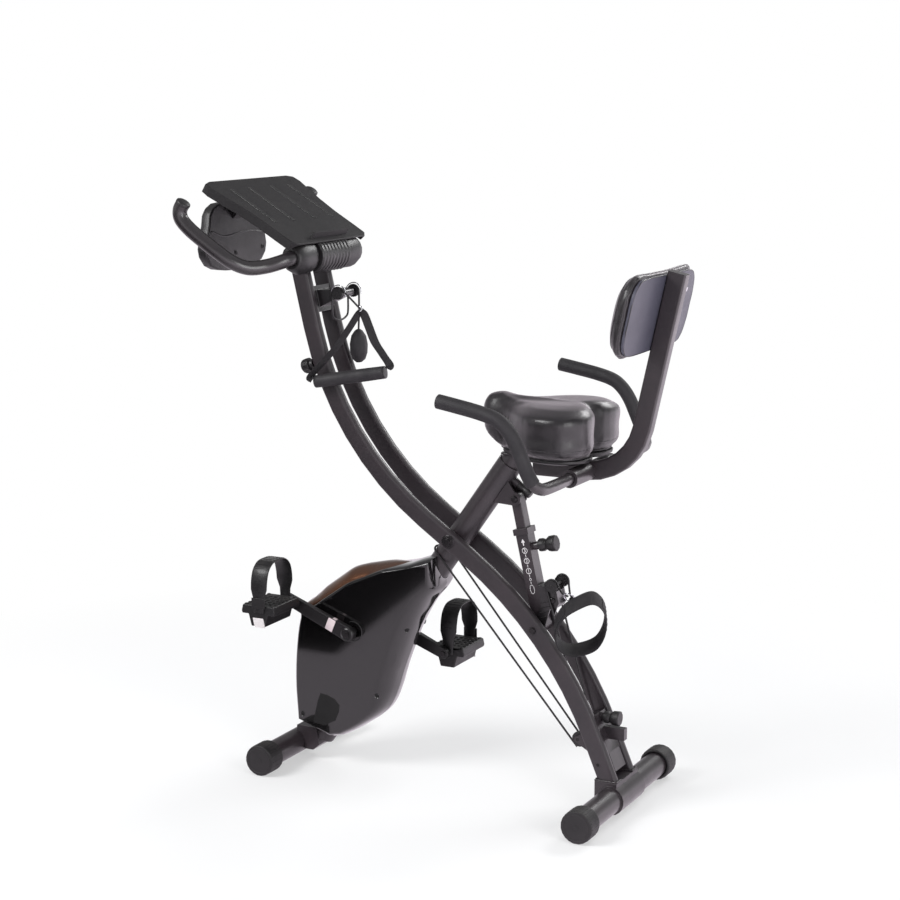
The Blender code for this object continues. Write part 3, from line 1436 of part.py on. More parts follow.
def saddle(vinyl, plastic, carrier):
    """Moulded pan on the carrier plate and the cushion that wraps down over its edge."""
    pan_low = CARRIER_TOP + GAP
    pan_high = pan_low + SADDLE_PAN_THICKNESS
    trim = SADDLE_PAN_SHORTENED
    pan = skinned(
        [
            saddle_ring(SADDLE_PAN_SHARE * 0.9, pan_low, shorten=trim),
            saddle_ring(SADDLE_PAN_SHARE, pan_low + SADDLE_PAN_THICKNESS * 0.4, shorten=trim),
            saddle_ring(SADDLE_PAN_SHARE, pan_high, shorten=trim),
        ]
    )
    piece("saddle_base", pan, plastic, carrier)
    under = pan_high + GAP
    pocket = SADDLE_PAN_SHARE + 0.012
    rise = SADDLE_NOSE_RISE
    skirt = SADDLE_SKIRT
    rings = [
        saddle_ring(pocket, under, shorten=trim + 0.03),
        saddle_ring(pocket + 0.01, skirt - 0.003, lift=True, shorten=trim + 0.045),
        saddle_ring(0.95, skirt, lift=True),
        saddle_ring(0.985, skirt + 0.010, lift=True),
        saddle_ring(0.965, (skirt + SADDLE_EDGE) / 2, rise * 0.5),
        saddle_ring(1.0, SADDLE_EDGE - 0.012),
        saddle_ring(0.985, SADDLE_EDGE - 0.002, rise * 0.1),
        saddle_ring(0.93, SADDLE_EDGE + 0.004, rise * 0.4, 0.001),
        saddle_ring(0.75, SADDLE_CROWN - 0.003, rise, 0.001),
        saddle_ring(0.45, SADDLE_CROWN, rise * 1.5, 0.002),
        saddle_ring(0.15, SADDLE_CROWN, rise * 1.8, 0.002),
    ]
    piece("saddle", skinned(rings), vinyl, carrier, sharp=50)


def backrest_line():
    """Centreline of the backrest tube, from under the saddle to its top."""
    front = Vector((BACKREST_TUBE_FRONT, 0, BACKREST_LEG_HEIGHT))
    centre = Vector((BACKREST_BEND_X, 0, BACKREST_LEG_HEIGHT + BACKREST_BEND_RADIUS))
    bend = arc_about(centre, BACKREST_BEND_RADIUS, 270, 270 - BACKREST_LEAN, 6)
    rise = (BACKREST_TOP - bend[-1].z) / BACKREST_UP.z
    return [front, *bend, bend[-1] + BACKREST_UP * rise]


def pad_frame(point_up, out, depth):
    """A place on the backrest: up its tube from the pad's middle, out sideways, ahead of its centreline."""
    line = backrest_line()
    foot = line[-2]
    middle = foot + BACKREST_UP * ((PAD_MIDDLE_HEIGHT - foot.z) / BACKREST_UP.z)
    return middle + BACKREST_UP * point_up + Y_AXIS * out + BACKREST_AHEAD * depth


def pad_ring(border, depth, crown=0.0):
    width = PAD_WIDTH - 2 * border
    height = PAD_HEIGHT - 2 * border
    corner = max(PAD_CORNER - border, 0.012)
    ring = []
    for out, up in rectangle(width, height, corner, 4):
        bulge = crown * (1 - (2 * out / PAD_WIDTH) ** 2)
        ring.append(pad_frame(up, out, depth + bulge))
    return ring


def backrest(coat, plastic, vinyl, carrier):
    """Bent tube with the handles' cross sleeve, the rear board and the cushion round it."""
    section = rectangle(BACKREST_TUBE_WIDTH, BACKREST_TUBE_DEPTH, BACKREST_TUBE_CORNER)
    tube = piece("backrest_post", skinned(stations(backrest_line(), section, Y_AXIS)), coat, carrier)
    half = SEAT_SLEEVE_WIDTH / 2
    join(tube, "sleeve", rod(SEAT_SLEEVE, Y_AXIS, -half, half, SEAT_SLEEVE_DIAMETER / 2))
    bar_hole = rod(SEAT_SLEEVE, Y_AXIS, -half - 0.01, half + 0.01, bore(SEAT_BAR_DIAMETER / 2))
    cut(tube, "bar_hole", tool("backrest_post_bar_hole", bar_hole, carrier))
    back = BACKREST_TUBE_DEPTH / 2 + GAP
    board = [
        pad_ring(PAD_BORDER, back),
        pad_ring(PAD_BORDER, back + BOARD_THICKNESS),
    ]
    piece("backrest_board", skinned(board), plastic, carrier)
    pocket = back + BOARD_THICKNESS + GAP
    front = back + PAD_THICKNESS
    rings = [
        pad_ring(PAD_BORDER - GAP * 2, pocket),
        pad_ring(PAD_BORDER - GAP * 2, back + 0.0015),
        pad_ring(0.004, back + 0.0005),
        pad_ring(0.0, back + 0.006),
        pad_ring(0.002, back + PAD_THICKNESS * 0.38),
        pad_ring(0.010, back + PAD_THICKNESS * 0.62),
        pad_ring(0.024, front - 0.008),
        pad_ring(0.044, front - 0.003),
        pad_ring(0.068, front),
    ]
    piece("backrest_pad", skinned(rings), vinyl, carrier, sharp=50)


def seat_handles(coat, foam, carrier):
    """Handle bar through the sleeve and the foam grips over its ends."""
    half_route = [Vector(point) for point in SEAT_BAR_ROUTE]
    straight = SEAT_SLEEVE_WIDTH / 2 + 0.012
    near = Vector((SEAT_SLEEVE.x, straight, SEAT_SLEEVE.z))
    left = [near, *curve_through([near, *half_route], 2)[1:]]
    route = mirrored_route(left, SEAT_SLEEVE)
    section = circle_section(SEAT_BAR_DIAMETER / 2, SMALL_ROUND)
    bar = skinned(stations(route, section, Vector((0, 0, 1))))
    piece("seat_handle", bar, coat, carrier)
    outer = circle_section(SEAT_GRIP_DIAMETER / 2, SMALL_ROUND)
    inner = circle_section(bore(SEAT_BAR_DIAMETER / 2, SMALL_ROUND) + 0.0003, SMALL_ROUND)
    for name, hand in (("seat_grip_left", 1), ("seat_grip_right", -1)):
        covered = [Vector((p.x, hand * p.y, p.z)) for p in left[-SEAT_GRIP_POINTS:]]
        tip = Vector((SEAT_GRIP_END[0], hand * SEAT_GRIP_END[1], SEAT_GRIP_END[2]))
        direction = (tip - covered[-1]).normalized()
        holes = stations(covered + [covered[-1] + direction * GAP * 2], inner, Y_AXIS)
        path = covered + [tip]
        rings = stations(path, outer, Y_AXIS)
        dome = [[tip + (p - tip) * 0.8 + direction * 0.004 for p in rings[-1]]]
        piece(name, skinned(holes[::-1] + rings + dome), foam, carrier)


def head(coat, plastic, foam, carrier):
    """Cross tube welded to the rails, its plastic end caps and the handlebar through it."""
    half = HEAD_TUBE_LENGTH / 2
    inside = bore(HANDLEBAR_DIAMETER / 2)
    outside = HEAD_TUBE_DIAMETER / 2
    tube = [(-half, inside), (-half, outside), (half, outside), (half, inside)]
    piece("head_tube", turned(tube, HEAD, Y_AXIS, closed=True), coat, carrier)
    up = Vector((0, 0, 1))
    ahead = Vector((1, 0, 0))
    sleeve = bore(outside)
    bar = bore(HANDLEBAR_DIAMETER / 2)
    span = HEAD_CAP_OUTSIDE - HEAD_CAP_INSIDE
    for name, hand in (("head_cap_left", 1), ("head_cap_right", -1)):
        rings = []
        for along, half_depth, half_height in (
            (HEAD_CAP_INSIDE, sleeve, sleeve),
            (HEAD_CAP_INSIDE, HEAD_CAP_HALF_DEPTH * 0.90, HEAD_CAP_HALF_HEIGHT * 0.88),
            (HEAD_CAP_INSIDE + span * 0.2, HEAD_CAP_HALF_DEPTH, HEAD_CAP_HALF_HEIGHT),
            (HEAD_CAP_INSIDE + span * 0.65, HEAD_CAP_HALF_DEPTH, HEAD_CAP_HALF_HEIGHT),
            (HEAD_CAP_OUTSIDE - span * 0.1, HEAD_CAP_HALF_DEPTH * 0.86, HEAD_CAP_HALF_HEIGHT * 0.8),
            (HEAD_CAP_OUTSIDE, HEAD_CAP_HALF_DEPTH * 0.7, HEAD_CAP_HALF_HEIGHT * 0.62),
            (HEAD_CAP_OUTSIDE, bar, bar),
            (half + GAP, bar, bar),
            (half + GAP, sleeve, sleeve),
        ):
            centre = HEAD + Y_AXIS * (hand * along)
            rings.append(oval(centre, ahead, up, half_depth, half_height, ROUND))
        piece(name, skinned(rings, closed=True), plastic, carrier)
    left = [HEAD + Vector(point) for point in HANDLEBAR_ROUTE]
    near = HEAD + Y_AXIS * (HEAD_CAP_OUTSIDE + 0.002)
    left = [near, *curve_through([near, *left], 2)[1:]]
    right = [Vector((p.x, -p.y, p.z)) for p in reversed(left)]
    route = right + left
    section = circle_section(HANDLEBAR_DIAMETER / 2, SMALL_ROUND)
    rings = stations(route, section, Vector((0, 0, 1)))
    ends = []
    for ring, tip, way in (
        (rings[0], route[0], route[0] - route[1]),
        (rings[-1], route[-1], route[-1] - route[-2]),
    ):
        ends.append([tip + (p - tip) * 0.75 + way.normalized() * 0.004 for p in ring])
    piece("handlebar", skinned([ends[0], *rings, ends[1]]), foam, carrier)


def desk_point(up_slope, out=0.0, above=0.0):
    """A place on the desk, from the cross tube's axis: up the slope, sideways and off the slope."""
    return HEAD + TRAY_UP * up_slope + Y_AXIS * out + TRAY_NORMAL * above


def tray(plastic, carrier):
    """Shallow pan with a rim that is level over the clamp and the caps, and a stop lip."""
    half = [(Vector((x, y)), depth) for x, y, depth in TRAY_OUTLINE]
    loop = half + [(Vector((point.x, -point.y)), depth) for point, depth in reversed(half)]
    corners = [tuple(point) for point, _ in loop]
    depths = [depth for _, depth in loop]
    inner = inset(corners, TRAY_SKIN)
    edge = inset(corners, 0.0015)
    top = TRAY_ABOVE_HEAD
    rings = [
        [desk_point(x, y, top - TRAY_SKIN) for x, y in inner],
        [desk_point(x, y, top - depth) for (x, y), depth in zip(inner, depths)],
        [desk_point(x, y, top - depth) for (x, y), depth in zip(corners, depths)],
        [desk_point(x, y, top - 0.0015) for x, y in corners],
        [desk_point(x, y, top) for x, y in edge],
    ]
    pan = piece("tray", skinned(rings), plastic, carrier)
    wide = LIP_HALF_WIDTH
    foot = top - 0.001
    crest = top + LIP_HEIGHT
    section = [(wide, foot), (wide * 0.97, crest), (-wide * 0.97, crest), (-wide, foot)]
    lip = [
        [desk_point(up_slope, y, above) for y, above in section]
        for up_slope in (LIP_UP_SLOPE - LIP_THICKNESS, LIP_UP_SLOPE)
    ]
    join(pan, "lip", skinned(lip))


def clamp(plastic, carrier):
    """Ribbed clamp round the cross tube, with the stem under the tray that carries the console."""
    inside = bore(HEAD_TUBE_DIAMETER / 2) + 0.0005
    half = CLAMP_WIDTH / 2
    pitch = CLAMP_WIDTH / CLAMP_RIBS
    edge = [(-half, inside)]
    for k in range(CLAMP_RIBS):
        start = -half + pitch * k
        edge += [
            (start, CLAMP_RADIUS - CLAMP_RIB_DEPTH),
            (start + pitch * 0.22, CLAMP_RADIUS),
            (start + pitch * 0.70, CLAMP_RADIUS),
            (start + pitch * 0.92, CLAMP_RADIUS - CLAMP_RIB_DEPTH),
        ]
    edge += [(half, CLAMP_RADIUS - CLAMP_RIB_DEPTH), (half, inside)]
    ceiling = TRAY_ABOVE_HEAD - TRAY_LEVEL_RIM - GAP
    rings = []
    for i in range(CLAMP_STEPS + 1):
        angle = math.radians(CLAMP_START + (CLAMP_END - CLAMP_START) * i / CLAMP_STEPS)
        way = Vector((math.cos(angle), 0, math.sin(angle)))
        lift = way.dot(TRAY_NORMAL)
        limit = ceiling / lift if lift > 0 else math.inf
        rings.append([HEAD + way * min(radius, limit) + Y_AXIS * y for y, radius in edge])
    sleeve = piece("desk_clamp", skinned(rings), plastic, carrier)
    roof = TRAY_ABOVE_HEAD - TRAY_SKIN - GAP
    below_rim = TRAY_ABOVE_HEAD - TRAY_RIM - 0.0015
    tray_end = TRAY_OUTLINE[-1][0]
    face = HEAD + Vector((CONSOLE_AHEAD - GAP, 0, 0))
    console_top = HEAD.z + CONSOLE_OUTLINE[-1][1]
    rear = STEM_START
    stem = [
        desk_point(0.016, 0, ceiling - 0.002),
        desk_point(rear - 0.004, 0, ceiling - 0.002),
        desk_point(rear + 0.010, 0, roof),
        desk_point(STEM_REACH, 0, roof),
        desk_point(tray_end - 0.022, 0, below_rim),
        desk_point(tray_end + 0.004, 0, below_rim),
        Vector((face.x, 0, console_top - 0.004)),
        Vector((face.x, 0, console_top - 0.034)),
        desk_point(tray_end - 0.030, 0, below_rim - STEM_DEPTH - 0.004),
        desk_point(0.016, 0, roof - STEM_DEPTH),
    ]
    join(sleeve, "stem", slab(side_view(stem), -STEM_WIDTH / 2, STEM_WIDTH / 2))


def console(plastic, screen, carrier):
    """Console case: a lobed shell with rounded edges."""
    half = [Vector(point) for point in CONSOLE_OUTLINE]
    loop = half + [Vector((-point.x, point.y)) for point in reversed(half[1:-1])]
    outline = [tuple(point) for point in loop]
    soft = inset(outline, CONSOLE_EDGE)
    front = HEAD.x + CONSOLE_AHEAD
    back = front + CONSOLE_DEPTH
    rings = []
    for x, loop_points in (
        (front, inset(outline, 0.0025)),
        (front + 0.003, outline),
        (back - CONSOLE_EDGE, outline),
        (back, soft),
    ):
        rings.append([Vector((x, y, HEAD.z + z)) for y, z in loop_points])
    piece("console", skinned(rings), plastic, carrier)


def upper_pulleys(coat, metal, carrier, wheel_carrier):
    """Bracket bolted between the rails, reaching back to the arm bands' pulleys."""
    middle, way = rail_at(UPPER_PULLEY.z - 0.012)
    ahead = ahead_of(way)
    eye = PULLEY_AXLE_DIAMETER / 2 + 0.005
    half = RAIL_DEPTH / 2 - 0.004
    root = RAIL_INSIDE - GAP
    block = [
        middle + way * 0.022 - ahead * half,
        middle - way * 0.030 - ahead * half,
        middle - way * 0.030 + ahead * half,
        middle + way * 0.022 + ahead * half,
    ]
    bracket = piece("upper_pulley_bracket", slab(side_view(block), -root, root), coat, carrier)
    arm = [
        middle + way * 0.016,
        UPPER_PULLEY + Vector((0.006, 0, eye)),
        *arc_about(UPPER_PULLEY, eye, 110, 250, 4),
        UPPER_PULLEY + Vector((0.008, 0, -eye - 0.002)),
        middle - way * 0.024,
    ]
    width = UPPER_BRACKET_WIDTH / 2
    join(bracket, "arm", slab(side_view(arm), -width, width))
    hole = rod(UPPER_PULLEY, Y_AXIS, -0.05, 0.05, bore(PULLEY_AXLE_DIAMETER / 2))
    cut(bracket, "axle_hole", tool("upper_pulley_bracket_axle_hole", hole, carrier))
    reach = UPPER_PULLEY_GROOVE + PULLEY_WHEEL_WIDTH / 2 + 0.003
    pulley_pair(
        "upper_pulleys",
        UPPER_PULLEY,
        UPPER_PULLEY_DIAMETER,
        UPPER_PULLEY_GROOVE,
        None,
        PULLEY_AXLE_DIAMETER,
        reach,
        metal,
        wheel_carrier,
    )


def band_round(centre, groove, diameter, first, last, steps=6):
    """Points of a band lying in a pulley's groove."""
    radius = band_radius(diameter)
    return [point + Y_AXIS * groove for point in arc_about(centre, radius, first, last, steps)]


def band_radius(diameter):
    return diameter / 2 + BAND_DIAMETER * 0.25


def touch_angle(centre, diameter, place, hand):
    """Angle at which a band from a place in side view meets a pulley, on its upper or lower side."""
    way = place - centre
    distance = math.hypot(way.x, way.z)
    facing = math.degrees(math.atan2(way.z, way.x))
    return facing + hand * math.degrees(math.acos(band_radius(diameter) / distance))


def arm_bands(rubber, webbing, foam, carrier):
    """Elastic band over both upper pulleys, the stirrup handle on its left end and the second one."""
    top = UPPER_PULLEY + Vector(STRAP_TOP)
    groove = UPPER_PULLEY_GROOVE
    meets = touch_angle(UPPER_PULLEY, UPPER_PULLEY_DIAMETER, top, -1) % 360
    left = band_round(UPPER_PULLEY, groove, UPPER_PULLEY_DIAMETER, meets, 0)
    right = band_round(UPPER_PULLEY, -groove, UPPER_PULLEY_DIAMETER, 0, 180)
    second = UPPER_PULLEY + Vector(SECOND_HANDLE_CENTRE) + Vector((0, 0, SECOND_HANDLE_HEIGHT / 2))
    low = UPPER_PULLEY.z - 0.040
    bottom = UPPER_PULLEY.z - 0.052
    x = left[-1].x
    start = top + Vector((0, 0, HANDLE_STRAP_THICKNESS / 2 + BAND_DIAMETER * 0.5 + GAP))
    route = [
        start,
        start + (left[0] - start) * 0.45,
        *left,
        Vector((x, groove, low)),
        Vector((x, groove * 0.6, bottom)),
        Vector((x, 0, bottom - 0.002)),
        Vector((x, -groove * 0.6, bottom)),
        Vector((x, -groove, low)),
        *right,
        Vector((right[-1].x, -groove, low)),
        Vector((second.x, second.y, second.z + GAP * 2)),
    ]
    cord("arm_band", curve_through(route, 2), BAND_DIAMETER, rubber, carrier)
    near = UPPER_PULLEY + Vector(GRIP_NEAR_END)
    far = UPPER_PULLEY + Vector(GRIP_FAR_END)
    along = (far - near).normalized()
    length = (far - near).length
    radius = GRIP_DIAMETER / 2
    hole = GRIP_BORE / 2
    grip = [
        (0, hole),
        (0, radius * 0.9),
        (0.004, radius),
        (length - 0.004, radius),
        (length, radius * 0.9),
        (length, hole),
    ]
    piece("arm_handle_grip", turned(grip, near, along, closed=True), foam, carrier)
    out = 0.010
    loop = [
        near - along * out * 0.2,
        (near + far) / 2,
        far + along * out * 0.2,
        far + along * out + Vector((0, 0, 0.006)),
        far + along * out * 0.9 + Vector((0, 0, 0.016)),
        top + (far - top) * 0.5 + along * 0.004,
        top + along * 0.007 + Vector((0, 0, -0.006)),
        top,
        top - along * 0.007 + Vector((0, 0, -0.006)),
        top + (near - top) * 0.5 - along * 0.004,
        near - along * out * 0.9 + Vector((0, 0, 0.016)),
        near - along * out + Vector((0, 0, 0.006)),
    ]
    path = curve_through(loop, 2, closed=True)
    section = rectangle(HANDLE_STRAP_WIDTH, HANDLE_STRAP_THICKNESS, HANDLE_STRAP_THICKNESS * 0.3, 1)
    flat = Y_AXIS - along * Y_AXIS.dot(along)
    rings = []
    for point, way in zip(path, tangents_of(path, closed=True)):
        side = (flat - way * flat.dot(way)).normalized()
        rise = way.cross(side)
        rings.append([point + side * a + rise * b for a, b in section])
    piece("arm_handle_strap", skinned(rings, closed=True), webbing, carrier)
    centre = UPPER_PULLEY + Vector(SECOND_HANDLE_CENTRE)
    rings = []
    for share, swell in ((-1.0, 0.30), (-0.8, 0.72), (-0.4, 0.96), (0.1, 1.0), (0.6, 0.82), (0.9, 0.45), (1.0, 0.2)):
        middle = centre + Vector((0, 0, share * SECOND_HANDLE_HEIGHT / 2))
        half_depth = SECOND_HANDLE_DEPTH / 2 * swell
        half_width = SECOND_HANDLE_WIDTH / 2 * swell
        rings.append(oval(middle, Vector((1, 0, 0)), Y_AXIS, half_depth, half_width, SMALL_ROUND))
    piece("second_arm_handle", skinned(rings), foam, carrier)


def rear_pulleys(coat, metal, carrier, wheel_carrier):
    """Bracket on the strut's bolt that carries the leg bands' pulleys behind the strut."""
    inside = STRUT_OUTER_WIDTH / 2 + 0.0015
    outside = inside + REAR_BRACKET_CHEEK
    eye = PULLEY_AXLE_DIAMETER / 2 + 0.006
    cheek = [
        *arc_about(STRUT_BOLT, 0.011, -150, 40, 5),
        *arc_about(REAR_PULLEY, eye, 20, 180, 4),
    ]
    web_front = STRUT_OUTER_DEPTH / 2 + 0.0015
    block = [
        strut_point(0.032, -web_front),
        strut_point(0.032, -web_front - 0.030),
        strut_point(0.040, -web_front - 0.037),
        strut_point(0.064, -web_front - 0.037),
        strut_point(0.074, -web_front - 0.020),
        strut_point(0.080, -web_front - 0.006),
        strut_point(0.080, -web_front),
    ]
    bracket = piece(
        "rear_pulley_bracket", slab(side_view(block), -outside + 0.001, outside - 0.001), coat, carrier
    )
    for label, hand in (("cheek_left", 1), ("cheek_right", -1)):
        sides = sorted((hand * inside, hand * outside))
        join(bracket, label, slab(side_view(cheek), *sides))
    holes = {
        "axle_hole": rod(REAR_PULLEY, Y_AXIS, -0.05, 0.05, bore(PULLEY_AXLE_DIAMETER / 2)),
        "bolt_hole": rod(STRUT_BOLT, Y_AXIS, -0.05, 0.05, bore(BOLT_DIAMETER / 2)),
    }
    for label, shape in holes.items():
        cut(bracket, label, tool(f"rear_pulley_bracket_{label}", shape, carrier))
    reach = REAR_PULLEY_GROOVE + PULLEY_WHEEL_WIDTH / 2 + 0.001
    pulley_pair(
        "rear_pulleys",
        REAR_PULLEY,
        REAR_PULLEY_DIAMETER,
        REAR_PULLEY_GROOVE,
        None,
        PULLEY_AXLE_DIAMETER,
        reach,
        metal,
        wheel_carrier,
    )


def leg_bands(rubber, webbing, carrier):
    """Elastic band from the cuff over the pulleys, down to the rear foot and up round the post."""
    loop_centre = PIVOT - POST_UP * LEG_LOOP_BELOW_PIVOT
    wrap = POST_DIAMETER / 2 + BAND_DIAMETER / 2 + GAP * 2
    way = REAR_PULLEY - LOWER_PULLEY
    slope = math.degrees(math.atan2(way.z, way.x))
    over = band_round(REAR_PULLEY, REAR_PULLEY_GROOVE, REAR_PULLEY_DIAMETER, 178, slope - 90)
    leaves = touch_angle(LOWER_PULLEY, LOWER_PULLEY_DIAMETER, loop_centre, -1)
    under = band_round(
        LOWER_PULLEY, LOWER_PULLEY_GROOVE, LOWER_PULLEY_DIAMETER, slope + 90, leaves + 360
    )
    around = []
    steps = 8
    for i in range(steps + 1):
        angle = math.pi * i / steps
        around.append(
            loop_centre + POST_AHEAD * (wrap * math.sin(angle)) + Y_AXIS * (wrap * math.cos(angle))
        )
    over_right = [Vector((p.x, -p.y, p.z)) for p in reversed(over)]
    under_right = [Vector((p.x, -p.y, p.z)) for p in reversed(under)]
    lower_left = (over[-1] + under[0]) / 2
    lower_right = Vector((lower_left.x, -lower_left.y, lower_left.z))
    up_left = (under[-1] + around[0]) / 2
    up_right = Vector((up_left.x, -up_left.y, up_left.z))
    drop = Vector(CUFF_BAND_END)
    drop_right = over_right[-1] + Vector((-0.003, 0, -0.024))
    route = [drop, *over, lower_left, *under, up_left, *around, up_right, *under_right]
    route += [lower_right, *over_right, drop_right]
    cord("leg_band", curve_through(route, 1), BAND_DIAMETER, rubber, carrier)
    path = cuff_path()
    section = rectangle(CUFF_STRAP_WIDTH, CUFF_THICKNESS, CUFF_THICKNESS * 0.3, 1)
    axis = Vector(CUFF_AXIS).normalized()
    rings = []
    for point, way in zip(path, tangents_of(path, closed=True)):
        out = way.cross(axis).normalized()
        rings.append([point + axis * a + out * b for a, b in section])
    cuff = skinned(rings, closed=True)
    piece("ankle_cuff", cuff, webbing, carrier)


def cuff_path():
    axis = Vector(CUFF_AXIS).normalized()
    level = axis.cross(Vector((0, 0, 1))).normalized()
    rise = level.cross(axis).normalized()
    centre = Vector(CUFF_CENTRE)
    loop = [centre + level * a + rise * b for a, b in CUFF_LOOP]
    return curve_through(loop, 2, closed=True)


def tension_knob(plastic, carrier):
    """Ribbed resistance knob on the left rail's front face."""
    base, axis = tension_axis()
    radius = TENSION_KNOB_DIAMETER / 2
    profile = [
        (GAP, radius * 0.62),
        (TENSION_KNOB_LENGTH * 0.25, radius * 0.66),
        (TENSION_KNOB_LENGTH * 0.32, radius),
        (TENSION_KNOB_LENGTH * 0.90, radius * 0.94),
        (TENSION_KNOB_LENGTH, radius * 0.74),
    ]
    piece("tension_knob", turned(profile, base, axis), plastic, carrier)


def tension_axis():
    middle, way = rail_at(TENSION_KNOB_HEIGHT)
    ahead = ahead_of(way)
    return middle + Y_AXIS * RAIL_SIDE + ahead * (RAIL_DEPTH / 2), ahead


def middle_of(root):
    """Middle of the finished bike's length and width, from the points of every piece."""
    graph = bpy.context.evaluated_depsgraph_get()
    points = []
    for obj in root.children_recursive:
        if obj.type == "EMPTY" or obj.hide_render:
            continue
        seen = obj.evaluated_get(graph)
        points += [tuple(seen.matrix_world @ vertex.co) for vertex in seen.to_mesh().vertices]
        seen.to_mesh_clear()
    return (np.min(points, axis=0) + np.max(points, axis=0)) / 2


def main():
    scene_cleared()
    frame_coat = finish("powder_coat", (0.060, 0.055, 0.056), 0.45, 0.3)
    gloss = finish("gloss_shell", (0.012, 0.012, 0.014), 0.08)
    bronze = finish("bronze_cover", (0.36, 0.20, 0.11), 0.18, 0.6)
    rubber = finish("black_rubber", (0.020, 0.020, 0.020), 0.7)
    foam = finish("foam_grip", (0.018, 0.018, 0.019), 0.85)
    vinyl = finish("black_vinyl", (0.016, 0.016, 0.018), 0.25)
    plastic = finish("moulded_plastic", (0.028, 0.027, 0.029), 0.42)
    panel = finish("back_panel", (0.075, 0.085, 0.105), 0.5)
    steel = finish("bright_steel", (0.55, 0.55, 0.56), 0.25, 1.0)
    dark_steel = finish("black_steel", (0.045, 0.043, 0.045), 0.35, 0.8)
    alloy = finish("cast_alloy", (0.50, 0.50, 0.51), 0.4, 0.9)
    webbing = finish("webbing", (0.022, 0.022, 0.024), 0.8)

    frame = body("exercise_bike", (0, 0, 0))
    rail_frame = body("rail_frame", (0, 0, 0), frame)
    post_frame = body("post_frame", PIVOT, rail_frame)
    crank = body("crank", CRANK, post_frame)
    pedal_left = body("left_pedal_body", crank_end(1), crank)
    pedal_right = body("right_pedal_body", crank_end(-1), crank)
    flywheel = body("flywheel_body", FLYWHEEL, post_frame)
    seat = body("seat_slide", PIVOT, post_frame)
    seat_knob = body("seat_knob_pull", post_point(SEAT_KNOB_ALONG_POST), post_frame)
    strut_inner = body("strut_inner_swing", STRUT_PIN, post_frame)
    strut_outer = body("strut_outer_slide", STRUT_BOLT, strut_inner)
    strut_knob = body("strut_knob_pull", strut_point(STRUT_OUTER_LENGTH - STRUT_KNOB_BELOW_TOP), strut_outer)
    desk = body("desk_tilt", HEAD, rail_frame)
    upper_wheels = body("upper_pulley_spin", UPPER_PULLEY, rail_frame)
    rear_wheels = body("rear_pulley_spin", REAR_PULLEY, rail_frame)
    lower_wheels = body("lower_pulley_spin", LOWER_PULLEY, rail_frame)
    lock = body("rear_lock_pull", lock_face(), rail_frame)
    tension = body("tension_turn", tension_axis()[0], rail_frame)

    rails(frame_coat, rail_frame)
    rear_foot(frame_coat, rubber, rail_frame)
    rear_bracket(frame_coat, rail_frame)
    pivot_bolts(dark_steel, post_frame)
    through_bolt("strut_bolt", STRUT_BOLT, RAIL_OUTSIDE, 0.004, dark_steel, rail_frame)
    head(frame_coat, plastic, foam, rail_frame)
    upper_pulleys(frame_coat, dark_steel, rail_frame, upper_wheels)
    arm_bands(rubber, webbing, foam, rail_frame)
    rear_pulleys(plastic, dark_steel, rail_frame, rear_wheels)
    outside = RAIL_INSIDE - GAP
    pulley_pair(
        "lower_pulleys",
        LOWER_PULLEY,
        LOWER_PULLEY_DIAMETER,
        LOWER_PULLEY_GROOVE,
        None,
        LOWER_AXLE_DIAMETER,
        outside,
        dark_steel,
        lower_wheels,
    )
    leg_bands(rubber, webbing, rail_frame)
    knob(
        "rear_lock_knob",
        lock_face(),
        Vector((-1, 0, 0)),
        LOCK_BOSS_LENGTH,
        LOCK_GRIP_LENGTH,
        LOCK_GRIP_DIAMETER / 2,
        plastic,
        lock,
    )
    tension_knob(plastic, tension)

    main_post(frame_coat, post_frame)
    stabiliser("front_stabiliser", FRONT_FOOT, FRONT_WIDTH, frame_coat, post_frame)
    for name, hand in (("front_foot_left", 1), ("front_foot_right", -1)):
        foot_cap(name, FRONT_FOOT, hand, FRONT_WIDTH / 2, FRONT_FOOT_LENGTH, rubber, post_frame)
    housing(gloss, bronze, post_frame)
    drive(dark_steel, alloy, rubber, post_frame, crank, flywheel)
    crank_arm("crank_left", 1, steel, crank)
    crank_arm("crank_right", -1, steel, crank)
    pedal("left", 1, plastic, rubber, pedal_left)
    pedal("right", -1, plastic, rubber, pedal_right)
    ear_outside = STRUT_INNER_WIDTH / 2 + GAP + EAR_THICKNESS
    through_bolt("strut_pin", STRUT_PIN, ear_outside, 0.004, dark_steel, post_frame)
    strut(frame_coat, plastic, strut_inner, strut_outer, strut_knob)
    knob(
        "seat_knob",
        post_point(SEAT_KNOB_ALONG_POST),
        -POST_AHEAD,
        POST_DIAMETER / 2 + SEAT_KNOB_BOSS,
        SEAT_KNOB_GRIP,
        0.009,
        plastic,
        seat_knob,
    )

    seat_post(frame_coat, seat)
    saddle(vinyl, plastic, seat)
    backrest(frame_coat, panel, vinyl, seat)
    seat_handles(frame_coat, foam, seat)

    tray(plastic, desk)
    clamp(plastic, desk)
    console(plastic, panel, desk)

    bpy.context.view_layer.update()
    middle = middle_of(frame)
    frame.location = (-middle[0], -middle[1], 0)


main()
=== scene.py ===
import math
import random
import bmesh
import bpy
from mathutils import Matrix, Vector


